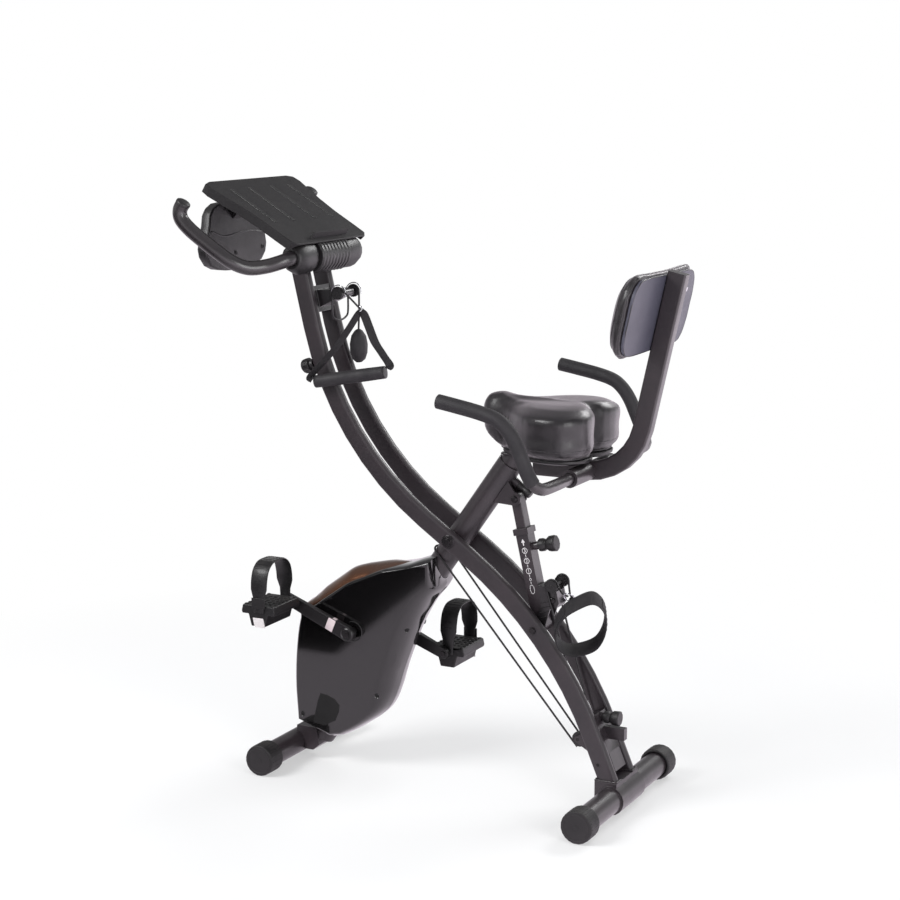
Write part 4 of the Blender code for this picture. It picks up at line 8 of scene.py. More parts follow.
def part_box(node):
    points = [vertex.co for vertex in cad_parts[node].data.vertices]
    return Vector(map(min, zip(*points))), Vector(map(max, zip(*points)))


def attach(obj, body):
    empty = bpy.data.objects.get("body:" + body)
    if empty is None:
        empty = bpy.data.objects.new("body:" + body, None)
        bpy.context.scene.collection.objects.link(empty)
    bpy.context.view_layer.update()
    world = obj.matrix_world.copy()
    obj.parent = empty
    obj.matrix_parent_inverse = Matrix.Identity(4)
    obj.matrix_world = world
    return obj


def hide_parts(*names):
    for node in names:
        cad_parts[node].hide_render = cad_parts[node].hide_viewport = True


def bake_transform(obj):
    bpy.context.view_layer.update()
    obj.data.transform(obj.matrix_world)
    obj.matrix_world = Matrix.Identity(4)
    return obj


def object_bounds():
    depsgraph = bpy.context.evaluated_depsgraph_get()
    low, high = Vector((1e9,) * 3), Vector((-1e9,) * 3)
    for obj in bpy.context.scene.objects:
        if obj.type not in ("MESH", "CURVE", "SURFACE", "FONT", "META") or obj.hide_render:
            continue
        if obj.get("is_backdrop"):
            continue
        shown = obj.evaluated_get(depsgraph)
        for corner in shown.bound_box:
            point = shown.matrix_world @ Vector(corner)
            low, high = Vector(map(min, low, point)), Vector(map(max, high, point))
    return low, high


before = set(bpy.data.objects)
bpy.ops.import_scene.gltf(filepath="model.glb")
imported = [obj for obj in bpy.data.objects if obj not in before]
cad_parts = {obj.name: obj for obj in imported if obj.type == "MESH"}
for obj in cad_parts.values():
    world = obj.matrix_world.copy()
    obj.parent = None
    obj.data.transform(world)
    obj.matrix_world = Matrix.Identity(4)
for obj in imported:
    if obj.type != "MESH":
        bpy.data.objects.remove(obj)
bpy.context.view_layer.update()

# Studio: a pale floor that fades into a white room, with broad lamps ahead, behind and on
# the far side. The camera stands where the photograph was taken from, with a long lens.
scene = bpy.context.scene
scene.view_settings.view_transform = "Standard"
camera_data = bpy.data.cameras.new("studio_camera")
camera_data.lens = 81.2
camera_data.sensor_width = 36.0
camera_data.clip_end = 60.0
camera = bpy.data.objects.new("studio_camera", camera_data)
scene.collection.objects.link(camera)
yaw, pitch = math.radians(-62.87), math.radians(-10.45)
looking = Vector((math.cos(yaw) * math.cos(pitch), math.sin(yaw) * math.cos(pitch), math.sin(pitch)))
camera.location = (-1.775439, 3.443, 1.379)
camera.rotation_euler = looking.to_track_quat("-Z", "Y").to_euler()
scene.camera = camera


def put(tree, kind, settings=None, feeds=(), **inputs):
    """One shader node; an input takes a number or colour, another node (its first output) or an output."""
    made = tree.nodes.new("ShaderNode" + kind)
    for key, value in (settings or {}).items():
        setattr(made, key, value)
    pairs = list(enumerate(feeds)) + [(key.replace("_", " "), value) for key, value in inputs.items()]
    for key, value in pairs:
        if isinstance(value, bpy.types.Node):
            value = value.outputs[0]
        if isinstance(value, bpy.types.NodeSocket):
            tree.links.new(value, made.inputs[key])
        elif value is not None:
            made.inputs[key].default_value = value
    return made


def product(tree, first, second):
    """A node that multiplies two values."""
    return put(tree, "Math", {"operation": "MULTIPLY"}, [first, second])


def added(name, data):
    """A new object of the scene."""
    made = bpy.data.objects.new(name, data)
    scene.collection.objects.link(made)
    return made


def tint(red, green, blue):
    """A colour given as on a swatch, 0 to 255, as the shader wants it."""
    swatch = (red, green, blue)
    return tuple(((c / 255 + 0.055) / 1.055) ** 2.4 if c > 10 else c / 255 / 12.92 for c in swatch) + (1.0,)


world = bpy.data.worlds.new("white_room")
world.use_nodes = True
sky = world.node_tree
sky.nodes.clear()
seen = put(sky, "LightPath")
away = put(sky, "TexCoord")
height = put(sky, "SeparateXYZ", feeds=[away.outputs["Generated"]])
climb = put(sky, "MapRange", Value=height.outputs["Z"], From_Min=-1.0, From_Max=1.0)
mirrored = put(sky, "ValToRGB", feeds=[climb])
mirrored.color_ramp.elements[0].position = 0.0
mirrored.color_ramp.elements[0].color = (0.9, 0.9, 0.92, 1)
mirrored.color_ramp.elements[1].position = 1.0
mirrored.color_ramp.elements[1].color = (0.3, 0.3, 0.31, 1)
for place, shade in ((0.47, 0.9), (0.56, 0.42), (0.72, 0.16)):
    step = mirrored.color_ramp.elements.new(place)
    step.color = (shade, shade, shade * 1.02, 1)
plain = put(sky, "Background", Color=(0.8, 0.81, 0.84, 1), Strength=0.62)
white = put(sky, "Background", Color=(1, 1, 1, 1), Strength=1.0)
rear_light = put(sky, "MapRange", Value=height.outputs["X"], From_Min=-1.0, From_Max=0.6, To_Min=2.3, To_Max=0.9)
shine = put(sky, "Background", Color=mirrored.outputs["Color"], Strength=rear_light)
lit = put(sky, "MixShader", feeds=[seen.outputs["Is Glossy Ray"], plain, shine])
shown = put(sky, "MixShader", feeds=[seen.outputs["Is Camera Ray"], lit, white])
put(sky, "OutputWorld", Surface=shown)
scene.world = world

FLOOR_HALF = 14
floor_mesh = bpy.data.meshes.new("studio_floor")
floor_corners = [(x * FLOOR_HALF, y * FLOOR_HALF, -0.001) for x, y in ((-1, -1), (1, -1), (1, 1), (-1, 1))]
floor_mesh.from_pydata(floor_corners, [], [(0, 1, 2, 3)])
floor = added("studio_floor", floor_mesh)
paper = bpy.data.materials.new("studio_paper")
paper.use_nodes = True
tree = paper.node_tree
tree.nodes.clear()
spot = put(tree, "TexCoord")
reach = put(tree, "VectorMath", {"operation": "LENGTH"}, [spot.outputs["Object"]])
fade = put(tree, "MapRange", Value=reach.outputs["Value"], From_Min=0.5, From_Max=1.7)
matt = put(tree, "BsdfDiffuse", Color=(0.92, 0.92, 0.92, 1))
bright = put(tree, "Emission", Color=(1, 1, 1, 1), Strength=1.0)
path = put(tree, "LightPath")
open_floor = put(tree, "Math", {"operation": "MAXIMUM"}, [fade, 0.45])
seen_share = product(tree, open_floor, path.outputs["Is Camera Ray"])
covered = put(tree, "MixShader", feeds=[seen_share, matt, bright])
# Shiny faces mirror a paper that grows brighter to the rear and ends at a dark corner.
there = put(tree, "SeparateXYZ", feeds=[spot.outputs["Object"]])
lean = put(tree, "Math", {"operation": "MULTIPLY_ADD"}, [there.outputs["Y"], -0.176, there.outputs["X"]])
beyond = put(tree, "MapRange", Value=lean, From_Min=0.49, From_Max=0.52)
ahead = put(tree, "MapRange", Value=there.outputs["Y"], From_Min=0.74, From_Max=0.78)
dark_corner = product(tree, beyond, ahead)
paper_end = put(tree, "MapRange", Value=dark_corner, To_Min=0.72, To_Max=0.0)
rearward = put(tree, "MapRange", Value=there.outputs["X"], From_Min=-1.6, From_Max=0.1, To_Min=3.2, To_Max=1.15)
glow = product(tree, paper_end, rearward)
gleam = put(tree, "Emission", Color=(0.9, 0.82, 0.9, 1), Strength=glow)
mirrored_floor = put(tree, "MixShader", feeds=[path.outputs["Is Glossy Ray"], covered, gleam])
put(tree, "OutputMaterial", Surface=mirrored_floor)
floor_mesh.materials.append(paper)
floor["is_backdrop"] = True

for label, place, aim, wide, tall, power in (
    ("key_lamp", (1.9, 2.6, 2.9), (0.0, 0.0, 0.55), 1.9, 1.5, 105.0),
    ("fill_lamp", (-2.9, 1.7, 1.5), (-0.1, 0.0, 0.6), 1.3, 2.0, 38.0),
    ("rim_lamp", (-1.1, -2.6, 2.6), (0.0, 0.0, 0.7), 1.8, 0.8, 46.0),
):
    lamp_data = bpy.data.lights.new(label, "AREA")
    lamp_data.shape = "RECTANGLE"
    lamp_data.size = wide
    lamp_data.size_y = tall
    lamp_data.energy = power
    lamp = added(label, lamp_data)
    lamp.location = place
    lamp.rotation_euler = (Vector(aim) - Vector(place)).to_track_quat("-Z", "Y").to_euler()

# Rear and front stabilisers: round steel tubes with a dark powder coat, pressed into
# rubber end caps. The cut and welded edges of every steel part are slightly rounded.


def effect(name, inputs, outputs):
    """An empty node group with its named values in and out, and its two ends."""
    group = bpy.data.node_groups.new(name, "ShaderNodeTree")
    for label, value in inputs:
        group.interface.new_socket(label, in_out="INPUT", socket_type="NodeSocketFloat").default_value = value
    for label in outputs:
        group.interface.new_socket(label, in_out="OUTPUT", socket_type="NodeSocketFloat")
    return group, group.nodes.new("NodeGroupInput"), group.nodes.new("NodeGroupOutput")


grain_group, given, result = effect("surface_grain", [("Size", 600.0), ("Patch Size", 14.0)], ["Height", "Patches"])
spot = put(grain_group, "TexCoord")
fine = put(
    grain_group, "TexNoise", Vector=spot.outputs["Object"], Scale=given.outputs["Size"], Detail=3.0, Roughness=0.6,
)
broad = put(
    grain_group, "TexNoise", Vector=spot.outputs["Object"], Scale=given.outputs["Patch Size"], Detail=4.0,
    Roughness=0.62,
)
spread = put(grain_group, "MapRange", Value=broad, From_Min=0.34, From_Max=0.68)
grain_group.links.new(fine.outputs[0], result.inputs["Height"])
grain_group.links.new(spread.outputs[0], result.inputs["Patches"])

dust_group, given, result = effect("settled_dust", [("Amount", 0.1)], ["Mask"])
facing = put(dust_group, "SeparateXYZ", feeds=[put(dust_group, "NewGeometry").outputs["Normal"]])
upward = put(dust_group, "MapRange", Value=facing.outputs["Z"], From_Min=0.25, From_Max=1.0)
cloud = put(
    dust_group, "TexNoise", Vector=put(dust_group, "TexCoord").outputs["Object"], Scale=26.0, Detail=6.0, Roughness=0.7,
)
patch = put(dust_group, "MapRange", Value=cloud, From_Min=0.38, From_Max=0.72)
lying = product(dust_group, upward, patch)
share = product(dust_group, lying, given.outputs["Amount"])
dust_group.links.new(share.outputs[0], result.inputs["Mask"])

rub_group, given, result = effect("fine_rubs", [("Amount", 0.2)], ["Mask"])
stretch = put(
    rub_group, "Mapping", Vector=put(rub_group, "TexCoord").outputs["Object"], Scale=(22.0, 150.0, 34.0),
    Rotation=(0.3, 0.5, 0.2),
)
streak = put(rub_group, "TexNoise", Vector=stretch, Scale=2.4, Detail=5.0, Roughness=0.72)
thin = put(rub_group, "MapRange", Value=streak, From_Min=0.6, From_Max=0.72)
share = product(rub_group, thin, given.outputs["Amount"])
rub_group.links.new(share.outputs[0], result.inputs["Mask"])

GRAIN_DEPTH = 0.0006
DUST_GREY = tint(150, 145, 140)


def blended(tree, share, first, second):
    """The mix of two colours: a Mix node takes them at its inputs 6 and 7 and gives output 2."""
    return put(tree, "Mix", {"data_type": "RGBA"}, [share] + [None] * 5 + [first, second]).outputs[2]


def finish(name, colour, patch_colour, rough, rough_spread, grain=(700.0, 0.2), patches=14.0, dust=0.08, rubs=0.12,
           metal=0.0, coat=0.0, coat_rough=0.1, rub_colour=None, extra=None, ior=1.5, sheen=0.0):
    """A painted, moulded or metal finish: two close colours in soft patches, fine grain, rubs and a little dust."""
    made = bpy.data.materials.new(name)
    made.use_nodes = True
    tree = made.node_tree
    tree.nodes.clear()
    grain_size, grain_strength = grain
    body = put(tree, "Group", {"node_tree": grain_group}, Size=grain_size, Patch_Size=patches)
    rubbed = put(tree, "Group", {"node_tree": rub_group}, Amount=rubs)
    dusty = put(tree, "Group", {"node_tree": dust_group}, Amount=dust)
    patched = blended(tree, body.outputs["Patches"], tint(*colour), tint(*patch_colour))
    paler = tuple(min(1.0, c * 2.2 + 0.01) for c in tint(*colour)[:3]) + (1.0,)
    worn = blended(tree, rubbed.outputs["Mask"], patched, tint(*rub_colour) if rub_colour else paler)
    topped = blended(tree, dusty.outputs["Mask"], worn, DUST_GREY)
    dull = put(
        tree, "MapRange", Value=body.outputs["Patches"], To_Min=rough - rough_spread, To_Max=rough + rough_spread,
    )
    matted = put(tree, "Math", {"operation": "ADD"}, [dull, dusty.outputs["Mask"]])
    height = body.outputs["Height"]
    if extra:
        height = extra(tree, height)
    raised = put(tree, "Bump", Height=height, Strength=grain_strength, Distance=GRAIN_DEPTH)
    shader = put(
        tree, "BsdfPrincipled", Base_Color=topped, Roughness=matted, Metallic=metal,
        Coat_Weight=coat, Coat_Roughness=coat_rough, Normal=raised, IOR=ior,
        Sheen_Weight=sheen, Sheen_Roughness=0.35, Sheen_Tint=(1.0, 0.88, 0.96, 1),
    )
    put(tree, "OutputMaterial", Surface=shader)
    return made


SAME_PLACE = 0.00002
joined_faces = bpy.data.node_groups.new("joined_faces", "GeometryNodeTree")
joined_faces.interface.new_socket("Geometry", in_out="INPUT", socket_type="NodeSocketGeometry")
joined_faces.interface.new_socket("Geometry", in_out="OUTPUT", socket_type="NodeSocketGeometry")
chain = [
    joined_faces.nodes.new(kind) for kind in (
        "NodeGroupInput", "GeometryNodeRemoveAttribute", "GeometryNodeMergeByDistance", "GeometryNodeSetShadeSmooth",
        "NodeGroupOutput",
    )
]
chain[1].inputs["Name"].default_value = "custom_normal"
chain[2].inputs["Distance"].default_value = SAME_PLACE
for before, after in zip(chain, chain[1:]):
    joined_faces.links.new(before.outputs[0], after.inputs[0])


def modify(part, name, kind, **settings):
    """One more modifier on an object."""
    modifier = part.modifiers.new(name, kind)
    for key, value in settings.items():
        setattr(modifier, key, value)


def eased_edges(part, edge, sharpest):
    """A small bevel on the edges sharper than an angle in degrees."""
    angle = math.radians(sharpest)
    modify(part, "eased edges", "BEVEL", width=edge, segments=2, limit_method="ANGLE", angle_limit=angle)


FLAT_ANGLE = math.radians(0.7)


def rounded_edges(part, edge, sharpest):
    """Rounds the cut edges of a form."""
    modify(part, "joined faces", "NODES", node_group=joined_faces)
    modify(part, "flat faces", "DECIMATE", decimate_type="DISSOLVE", angle_limit=FLAT_ANGLE)
    eased_edges(part, edge, sharpest)
    modify(part, "even shading", "WEIGHTED_NORMAL", keep_sharp=True)


def dress(names, made, edge=0.0008, sharpest=42.0):
    """Gives CAD nodes their finish and rounds their cut edges."""
    for name in names:
        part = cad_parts[name]
        part.material_slots[0].material = made
        rounded_edges(part, edge, sharpest)


frame_coat = finish(
    "dark powder coat", (50, 43, 47), (40, 35, 39), 0.36, 0.05, grain=(1500.0, 0.16), dust=0.05,
    rub_colour=(92, 84, 88), rubs=0.16, coat=0.25, coat_rough=0.25,
)
cap_rubber = finish("end cap rubber", (34, 31, 33), (27, 25, 27), 0.55, 0.08, grain=(1100.0, 0.3), dust=0.14, rubs=0.1)
dress(["rear_stabiliser", "front_stabiliser"], frame_coat)
dress(["rear_foot_left", "rear_foot_right", "front_foot_left", "front_foot_right"], cap_rubber, edge=0.0025)


def circle(radius, sides):
    """The section of a round cord."""
    return [
        (radius * math.cos(2 * math.pi * i / sides), radius * math.sin(2 * math.pi * i / sides))
        for i in range(sides)
    ]


def flat_band(width, thickness):
    """The section of a strap, with its edges rounded off."""
    w, t = width / 2, thickness / 2
    return [
        (-w, -t * 0.5), (-w + t, -t), (w - t, -t), (w, -t * 0.5), (w, t * 0.5), (w - t, t), (-w + t, t), (-w, t * 0.5),
    ]


def carried(points, section, up, closed=False, scales=None):
    """Rings of a section carried along a path, with its first axis level to `up` and its second across it."""
    points = [Vector(p) for p in points]
    rings = []
    last = len(points) - 1
    for i, point in enumerate(points):
        before = points[i - 1] if closed or i else points[0]
        after = points[(i + 1) % len(points)] if closed or i < last else points[last]
        along = (after - before).normalized()
        level = up[i] if isinstance(up, list) else up
        side = along.cross(Vector(level)).normalized()
        rise = side.cross(along)
        grow = scales[i] if scales else 1.0
        rings.append([point + side * (a * grow) + rise * (b * grow) for a, b in section])
    return rings


def bridged(rings, closed=False, caps=True):
    """Vertices and faces of a skin over rings."""
    size = len(rings[0])
    corners = [tuple(p) for ring in rings for p in ring]
    faces = []
    for i in range(len(rings) if closed else len(rings) - 1):
        j = (i + 1) % len(rings)
        for k in range(size):
            n = (k + 1) % size
            faces.append((i * size + k, i * size + n, j * size + n, j * size + k))
    if caps and not closed:
        faces.append(tuple(range(size - 1, -1, -1)))
        faces.append(tuple((len(rings) - 1) * size + k for k in range(size)))
    return corners, faces


POINT = 0.00005


def turned(profile, base, axis, sides=32):
    """Rings of a turned part, from (radius, height) pairs up an axis; a radius of 0 is a tiny ring."""
    base = Vector(base)
    axis = Vector(axis).normalized()
    side = axis.orthogonal().normalized()
    cross = axis.cross(side)
    return [
        [
            base + axis * h + side * (max(r, POINT) * math.cos(2 * math.pi * k / sides))
            + cross * (max(r, POINT) * math.sin(2 * math.pi * k / sides))
            for k in range(sides)
        ]
        for r, h in profile
    ]


def lathe(profile, base, axis, sides=32):
    """The open skin of a turned part."""
    return bridged(turned(profile, base, axis, sides), caps=False)


def cord(path, radius, sides, up, closed=False):
    """The skin of a round cord or wire along a path."""
    return bridged(carried(path, circle(radius, sides), up, closed), closed)


def piece(name, skins, made, body, smooth=45.0, edge=0.0):
    """One mesh piece from one or more skins, with its finish, riding on a body."""
    corners, faces = [], []
    for skin_corners, skin_faces in skins:
        start = len(corners)
        corners.extend(skin_corners)
        faces.extend(tuple(start + i for i in face) for face in skin_faces)
    mesh = bpy.data.meshes.new(name)
    mesh.from_pydata([tuple(c) for c in corners], [], faces)
    work = bmesh.new()
    work.from_mesh(mesh)
    bmesh.ops.recalc_face_normals(work, faces=work.faces)
    work.to_mesh(mesh)
    work.free()
    for face in mesh.polygons:
        face.use_smooth = True
    mesh.set_sharp_from_angle(angle=math.radians(smooth))
    mesh.materials.append(made)
    made_piece = added(name, mesh)
    if edge:
        eased_edges(made_piece, edge, 40)
    if body:
        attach(made_piece, body)
    return made_piece


BEAD_STEP = 0.0022


def bead(points, up, radius, seed, closed=True):
    """A weld bead or piping that follows a path, with slight ripples."""
    chance = random.Random(seed)
    path = []
    points = [Vector(p) for p in points]
    legs = len(points) if closed else len(points) - 1
    for i in range(legs):
        a, b = points[i], points[(i + 1) % len(points)]
        count = max(1, int((b - a).length / BEAD_STEP))
        path.extend(a + (b - a) * (k / count) for k in range(count))
    if not closed:
        path.append(points[-1])
    scales = [1.0 + 0.16 * math.sin(i * 1.9) + 0.08 * chance.random() for i in range(len(path))]
    return bridged(carried(path, circle(radius, 8), up, closed, scales), closed)


X, Y, Z = Vector((1, 0, 0)), Vector((0, 1, 0)), Vector((0, 0, 1))
SIDES = ((1, "left"), (-1, "right"))
FOOT_HEIGHT = 0.031
RIB_RADIUS = 0.0308
RIB_COUNT = 36
WORN_BELOW = -0.86
for foot, x, inner, outer, body in (
    ("rear_foot", -0.378439, 0.1745, 0.2145, "rail_frame"), ("front_foot", 0.333561, 0.122, 0.165, "post_frame"),
):
    skins = []
    for hand, _ in SIDES:
        for k in range(RIB_COUNT):
            angle = 2 * math.pi * k / RIB_COUNT
            if math.sin(angle) < WORN_BELOW:
                continue
            spoke = Vector((math.cos(angle), 0, math.sin(angle)))
            start = Vector((x, hand * (inner + 0.004), FOOT_HEIGHT)) + spoke * RIB_RADIUS
            end = Vector((x, hand * (outer - 0.005), FOOT_HEIGHT)) + spoke * RIB_RADIUS
            skins.append(cord([start, end], 0.001, 6, spoke))
        rim_ring = [(0.0262, -0.001), (0.0262, 0.0002), (0.025, 0.0007), (0.0238, 0.0002), (0.0238, -0.001)]
        centre_mark = [(0.006, -0.001), (0.006, 0.0003), (0.0048, 0.0006), (0.0, 0.0006)]
        for profile, sides in ((rim_ring, 48), (centre_mark, 24)):
            skins.append(lathe(profile, (x, hand * outer, FOOT_HEIGHT), Y * hand, sides))
    piece(foot + "_ribs", skins, cap_rubber, body)

# Main rails: two bowed steel strips of flat oval tube side by side, welded to the rear
# stabiliser's saddle and to the head tube. The weld beads show under the paint.
dress(["left_rail", "right_rail"], frame_coat, edge=0.0022)
dress(["rear_bracket"], frame_coat, edge=0.001)
# Near-black used as painted shade inside holes, hex sockets and screw recesses; the same black makes the dull patches
# on the housing.
painted_shade_and_patch_black = finish("painted shade and patch black", (12, 11, 12), (8, 7, 8), 0.7, 0.05, dust=0.02, rubs=0.02)
for hand, label in SIDES:
    near, far = hand * 0.0282, hand * 0.0498
    foot = [(-0.3896, near, 0.0658), (-0.3896, far, 0.0658), (-0.3468, far, 0.0658), (-0.3468, near, 0.0658)]
    piece(f"rail_foot_weld_{label}", [bead(foot, Z, 0.0026, 5)], frame_coat, "rail_frame")
    hole_place = (-0.3507, hand * 0.049, 0.0958)
    rim = [(0.0042, -0.0006), (0.0042, 0.0002), (0.0034, 0.0003), (0.003, -0.0004)]
    piece(f"rail_hole_rim_{label}", [lathe(rim, hole_place, Y * hand, 24)], frame_coat, "rail_frame")
    # A black disc in the hole is painted shade for the dark inside of the tube.
    pit = [(0.0031, 0.0001), (0.0, 0.0001)]
    piece(f"rail_hole_{label}", [lathe(pit, hole_place, Y * hand, 20)], painted_shade_and_patch_black, "rail_frame")
    head = [
        (0.2899, hand * (0.039 + w), z)
        for w, z in ((-0.0112, 1.012), (-0.0112, 1.015), (0.0112, 1.015), (0.0112, 1.012))
    ]
    piece(f"rail_head_weld_{label}", [bead(head, X, 0.002, 9, closed=False)], frame_coat, "rail_frame")

# Lock knobs, tension knob and pulleys: moulded black plastic. The tension knob has raised
# grip ribs round its head.
moulded = finish(
    "moulded black plastic", (30, 28, 30), (24, 22, 24), 0.42, 0.08, grain=(2200.0, 0.22), dust=0.08, rubs=0.12,
)
dress(["rear_lock_knob", "seat_knob", "strut_knob", "tension_knob"], moulded, edge=0.001)
dress(["lower_pulleys", "rear_pulleys", "upper_pulleys"], moulded, edge=0.0004)


def ridges(base, axis, radius, start, end, count, thick):
    """Raised grip ribs round a knob, from one height to another up its axis."""
    axis = Vector(axis).normalized()
    side = axis.orthogonal().normalized()
    skins = []
    for k in range(count):
        spoke = Matrix.Rotation(2 * math.pi * k / count, 3, axis) @ side
        a = Vector(base) + axis * start + spoke * radius
        b = Vector(base) + axis * end + spoke * radius
        skins.append(bridged(carried([a, a.lerp(b, 0.5), b], circle(thick, 6), spoke, scales=[0.6, 1.0, 0.6])))
    return skins


knob_ribs = ridges((0.268735, 0.039, 0.822125), (0.932245, 0, -0.361828), 0.0138, 0.0095, 0.0225, 18, 0.001)
piece("tension_knob_ribs", knob_ribs, moulded, "tension")

# Main post: the straight tube that crosses between the rails, folding on the pivot bolts.
# Washers sit under the bolt heads, and the strut's ears are welded to its rear.
dress(["main_post"], frame_coat, edge=0.0016)
bolt_steel = finish(
    "blackened bolt steel", (40, 38, 40), (58, 55, 57), 0.3, 0.08, metal=0.75, grain=(900.0, 0.15), dust=0.03,
    rubs=0.25, rub_colour=(120, 116, 116),
)
dress(["pivot_bolt_left", "pivot_bolt_right", "strut_bolt", "strut_pin"], bolt_steel, edge=0.0006)
PIVOT = Vector((-0.031977, 0, 0.495043))
for hand, label in SIDES:
    ring = [(0.0135, 0.0), (0.0137, 0.0006), (0.013, 0.0013), (0.0098, 0.0014)]
    washer = lathe(ring, PIVOT + Y * (hand * 0.0492), Y * hand, 40)
    piece(f"pivot_washer_{label}", [washer], bolt_steel, "rail_frame")
    # Each bolt's hex socket is a shallow pit coloured black as painted shade.
    socket = lathe([(0.0042, 0.0), (0.0042, -0.0006), (0.0, -0.0006)], PIVOT + Y * (hand * 0.0565), Y * hand, 6)
    piece(f"pivot_socket_shade_{label}", [socket], painted_shade_and_patch_black, "post_frame")

# Folding strut: a square inner tube sliding in an outer one with a collar. The
# opening positions are printed in white on the outer tube's left face.
dress(["strut_inner", "strut_outer"], frame_coat, edge=0.0014)
white_print = finish(
    "white print", (226, 222, 224), (206, 201, 204), 0.5, 0.06, grain=(2600.0, 0.25), dust=0.05, rubs=0.3,
    rub_colour=(120, 114, 118),
)
strut_bolt = Vector((-0.212199, 0, 0.341))
strut_up = Vector((0.220398, 0, 0.97541))
strut_back = Vector((-0.97541, 0, 0.220398))
STRUT_FACE = 0.01512
RING_PLACES = (0.149, 0.129, 0.109)
RING_CORNERS = 28


def on_strut(along, across=0.0):
    """A point just off the left face of the strut."""
    return strut_bolt + strut_up * along + strut_back * across + Y * STRUT_FACE


def flat_mark(outline, hole=None):
    """A thin printed shape, or a printed outline when it has a hole."""
    outer = [on_strut(a, c) for a, c in outline]
    if hole is None:
        return [tuple(p) for p in outer], [tuple(range(len(outer)))]
    inner = [on_strut(a, c) for a, c in hole]
    size = len(outer)
    faces = [(k, (k + 1) % size, size + (k + 1) % size, size + k) for k in range(size)]
    return [tuple(p) for p in outer + inner], faces


def ring_mark(along, tall, wide, line):
    """A printed ring or oval."""
    angles = [2 * math.pi * k / RING_CORNERS for k in range(RING_CORNERS)]
    outer, inner = (
        [(along + (tall - inset) * math.sin(angle), (wide - inset) * math.cos(angle)) for angle in angles]
        for inset in (0.0, line)
    )
    return flat_mark(outer, inner)


def bar_mark(low, high):
    """A printed line up the strut."""
    return flat_mark([(low, 0.0006), (low, -0.0006), (high, -0.0006), (high, 0.0006)])


ARROW = (
    (0.159, 0.0012), (0.159, -0.0012), (0.165, -0.0012), (0.165, -0.0042), (0.172, 0.0), (0.165, 0.0042),
    (0.165, 0.0012),
)
marks = [flat_mark(ARROW)]
marks += [ring_mark(along, 0.0058, 0.0058, 0.0011) for along in RING_PLACES]
marks += [bar_mark(low, low + 0.005) for low in (0.1365, 0.1165, 0.097)]
marks += [
    ring_mark(0.0925, 0.0026, 0.0026, 0.0009), bar_mark(0.084, 0.0885), ring_mark(0.073, 0.0092, 0.0048, 0.001),
]
piece("strut_scale_print", marks, white_print, "strut_base", smooth=10)
for along, digit in zip(RING_PLACES, "321"):
    number = bpy.data.curves.new("strut_number_" + digit, "FONT")
    number.body = digit
    number.size = 0.0098
    number.align_x = "CENTER"
    number.align_y = "CENTER"
    number.offset = 0.0001
    number.materials.append(white_print)
    shown_number = added("strut_number_" + digit, number)
    upright = Matrix((strut_back, strut_up, Y)).transposed().to_4x4()
    shown_number.matrix_world = Matrix.Translation(on_strut(along)) @ upright
    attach(shown_number, "strut_base")

# Flywheel housing: two gloss-black moulded half shells screwed together from both sides,
# with a bronze cover strip over the joint on top and a dull black patch low on each side.
shell_gloss = finish(
    "gloss black shell", (16, 15, 16), (13, 12, 13), 0.1, 0.02, grain=(90.0, 0.02), patches=7.0, dust=0.03, rubs=0.05,
    coat=1.0, coat_rough=0.03, rub_colour=(46, 42, 46),
)
bronze = finish(
    "bronze lacquer", (118, 78, 54), (106, 68, 47), 0.24, 0.03, grain=(120.0, 0.02), patches=5.0, dust=0.02, rubs=0.02,
    metal=0.7, coat=0.9, coat_rough=0.05, rub_colour=(150, 110, 84),
)
dress(["housing_left", "housing_right"], shell_gloss, edge=0.0012, sharpest=60.0)
dress(["housing_cover"], bronze, edge=0.0008, sharpest=60.0)
dress(["flywheel", "crank_spindle"], bolt_steel, edge=0.0006)


def touch(name, start, way, lift=0.0):
    """The place and facing of a node's skin where a line meets it, at a small height off it."""
    _, place, facing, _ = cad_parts[name].ray_cast(Vector(start), Vector(way))
    if facing.dot(Vector(way)) > 0:
        facing = -facing
    return Vector(place) + Vector(facing) * lift, Vector(facing)


def on_shell(x, z, hand, lift=0.0):
    """The same on the housing, at a point seen from the side."""
    return touch("housing_left" if hand > 0 else "housing_right", (x, hand * 0.3, z), (0, -hand, 0), lift)


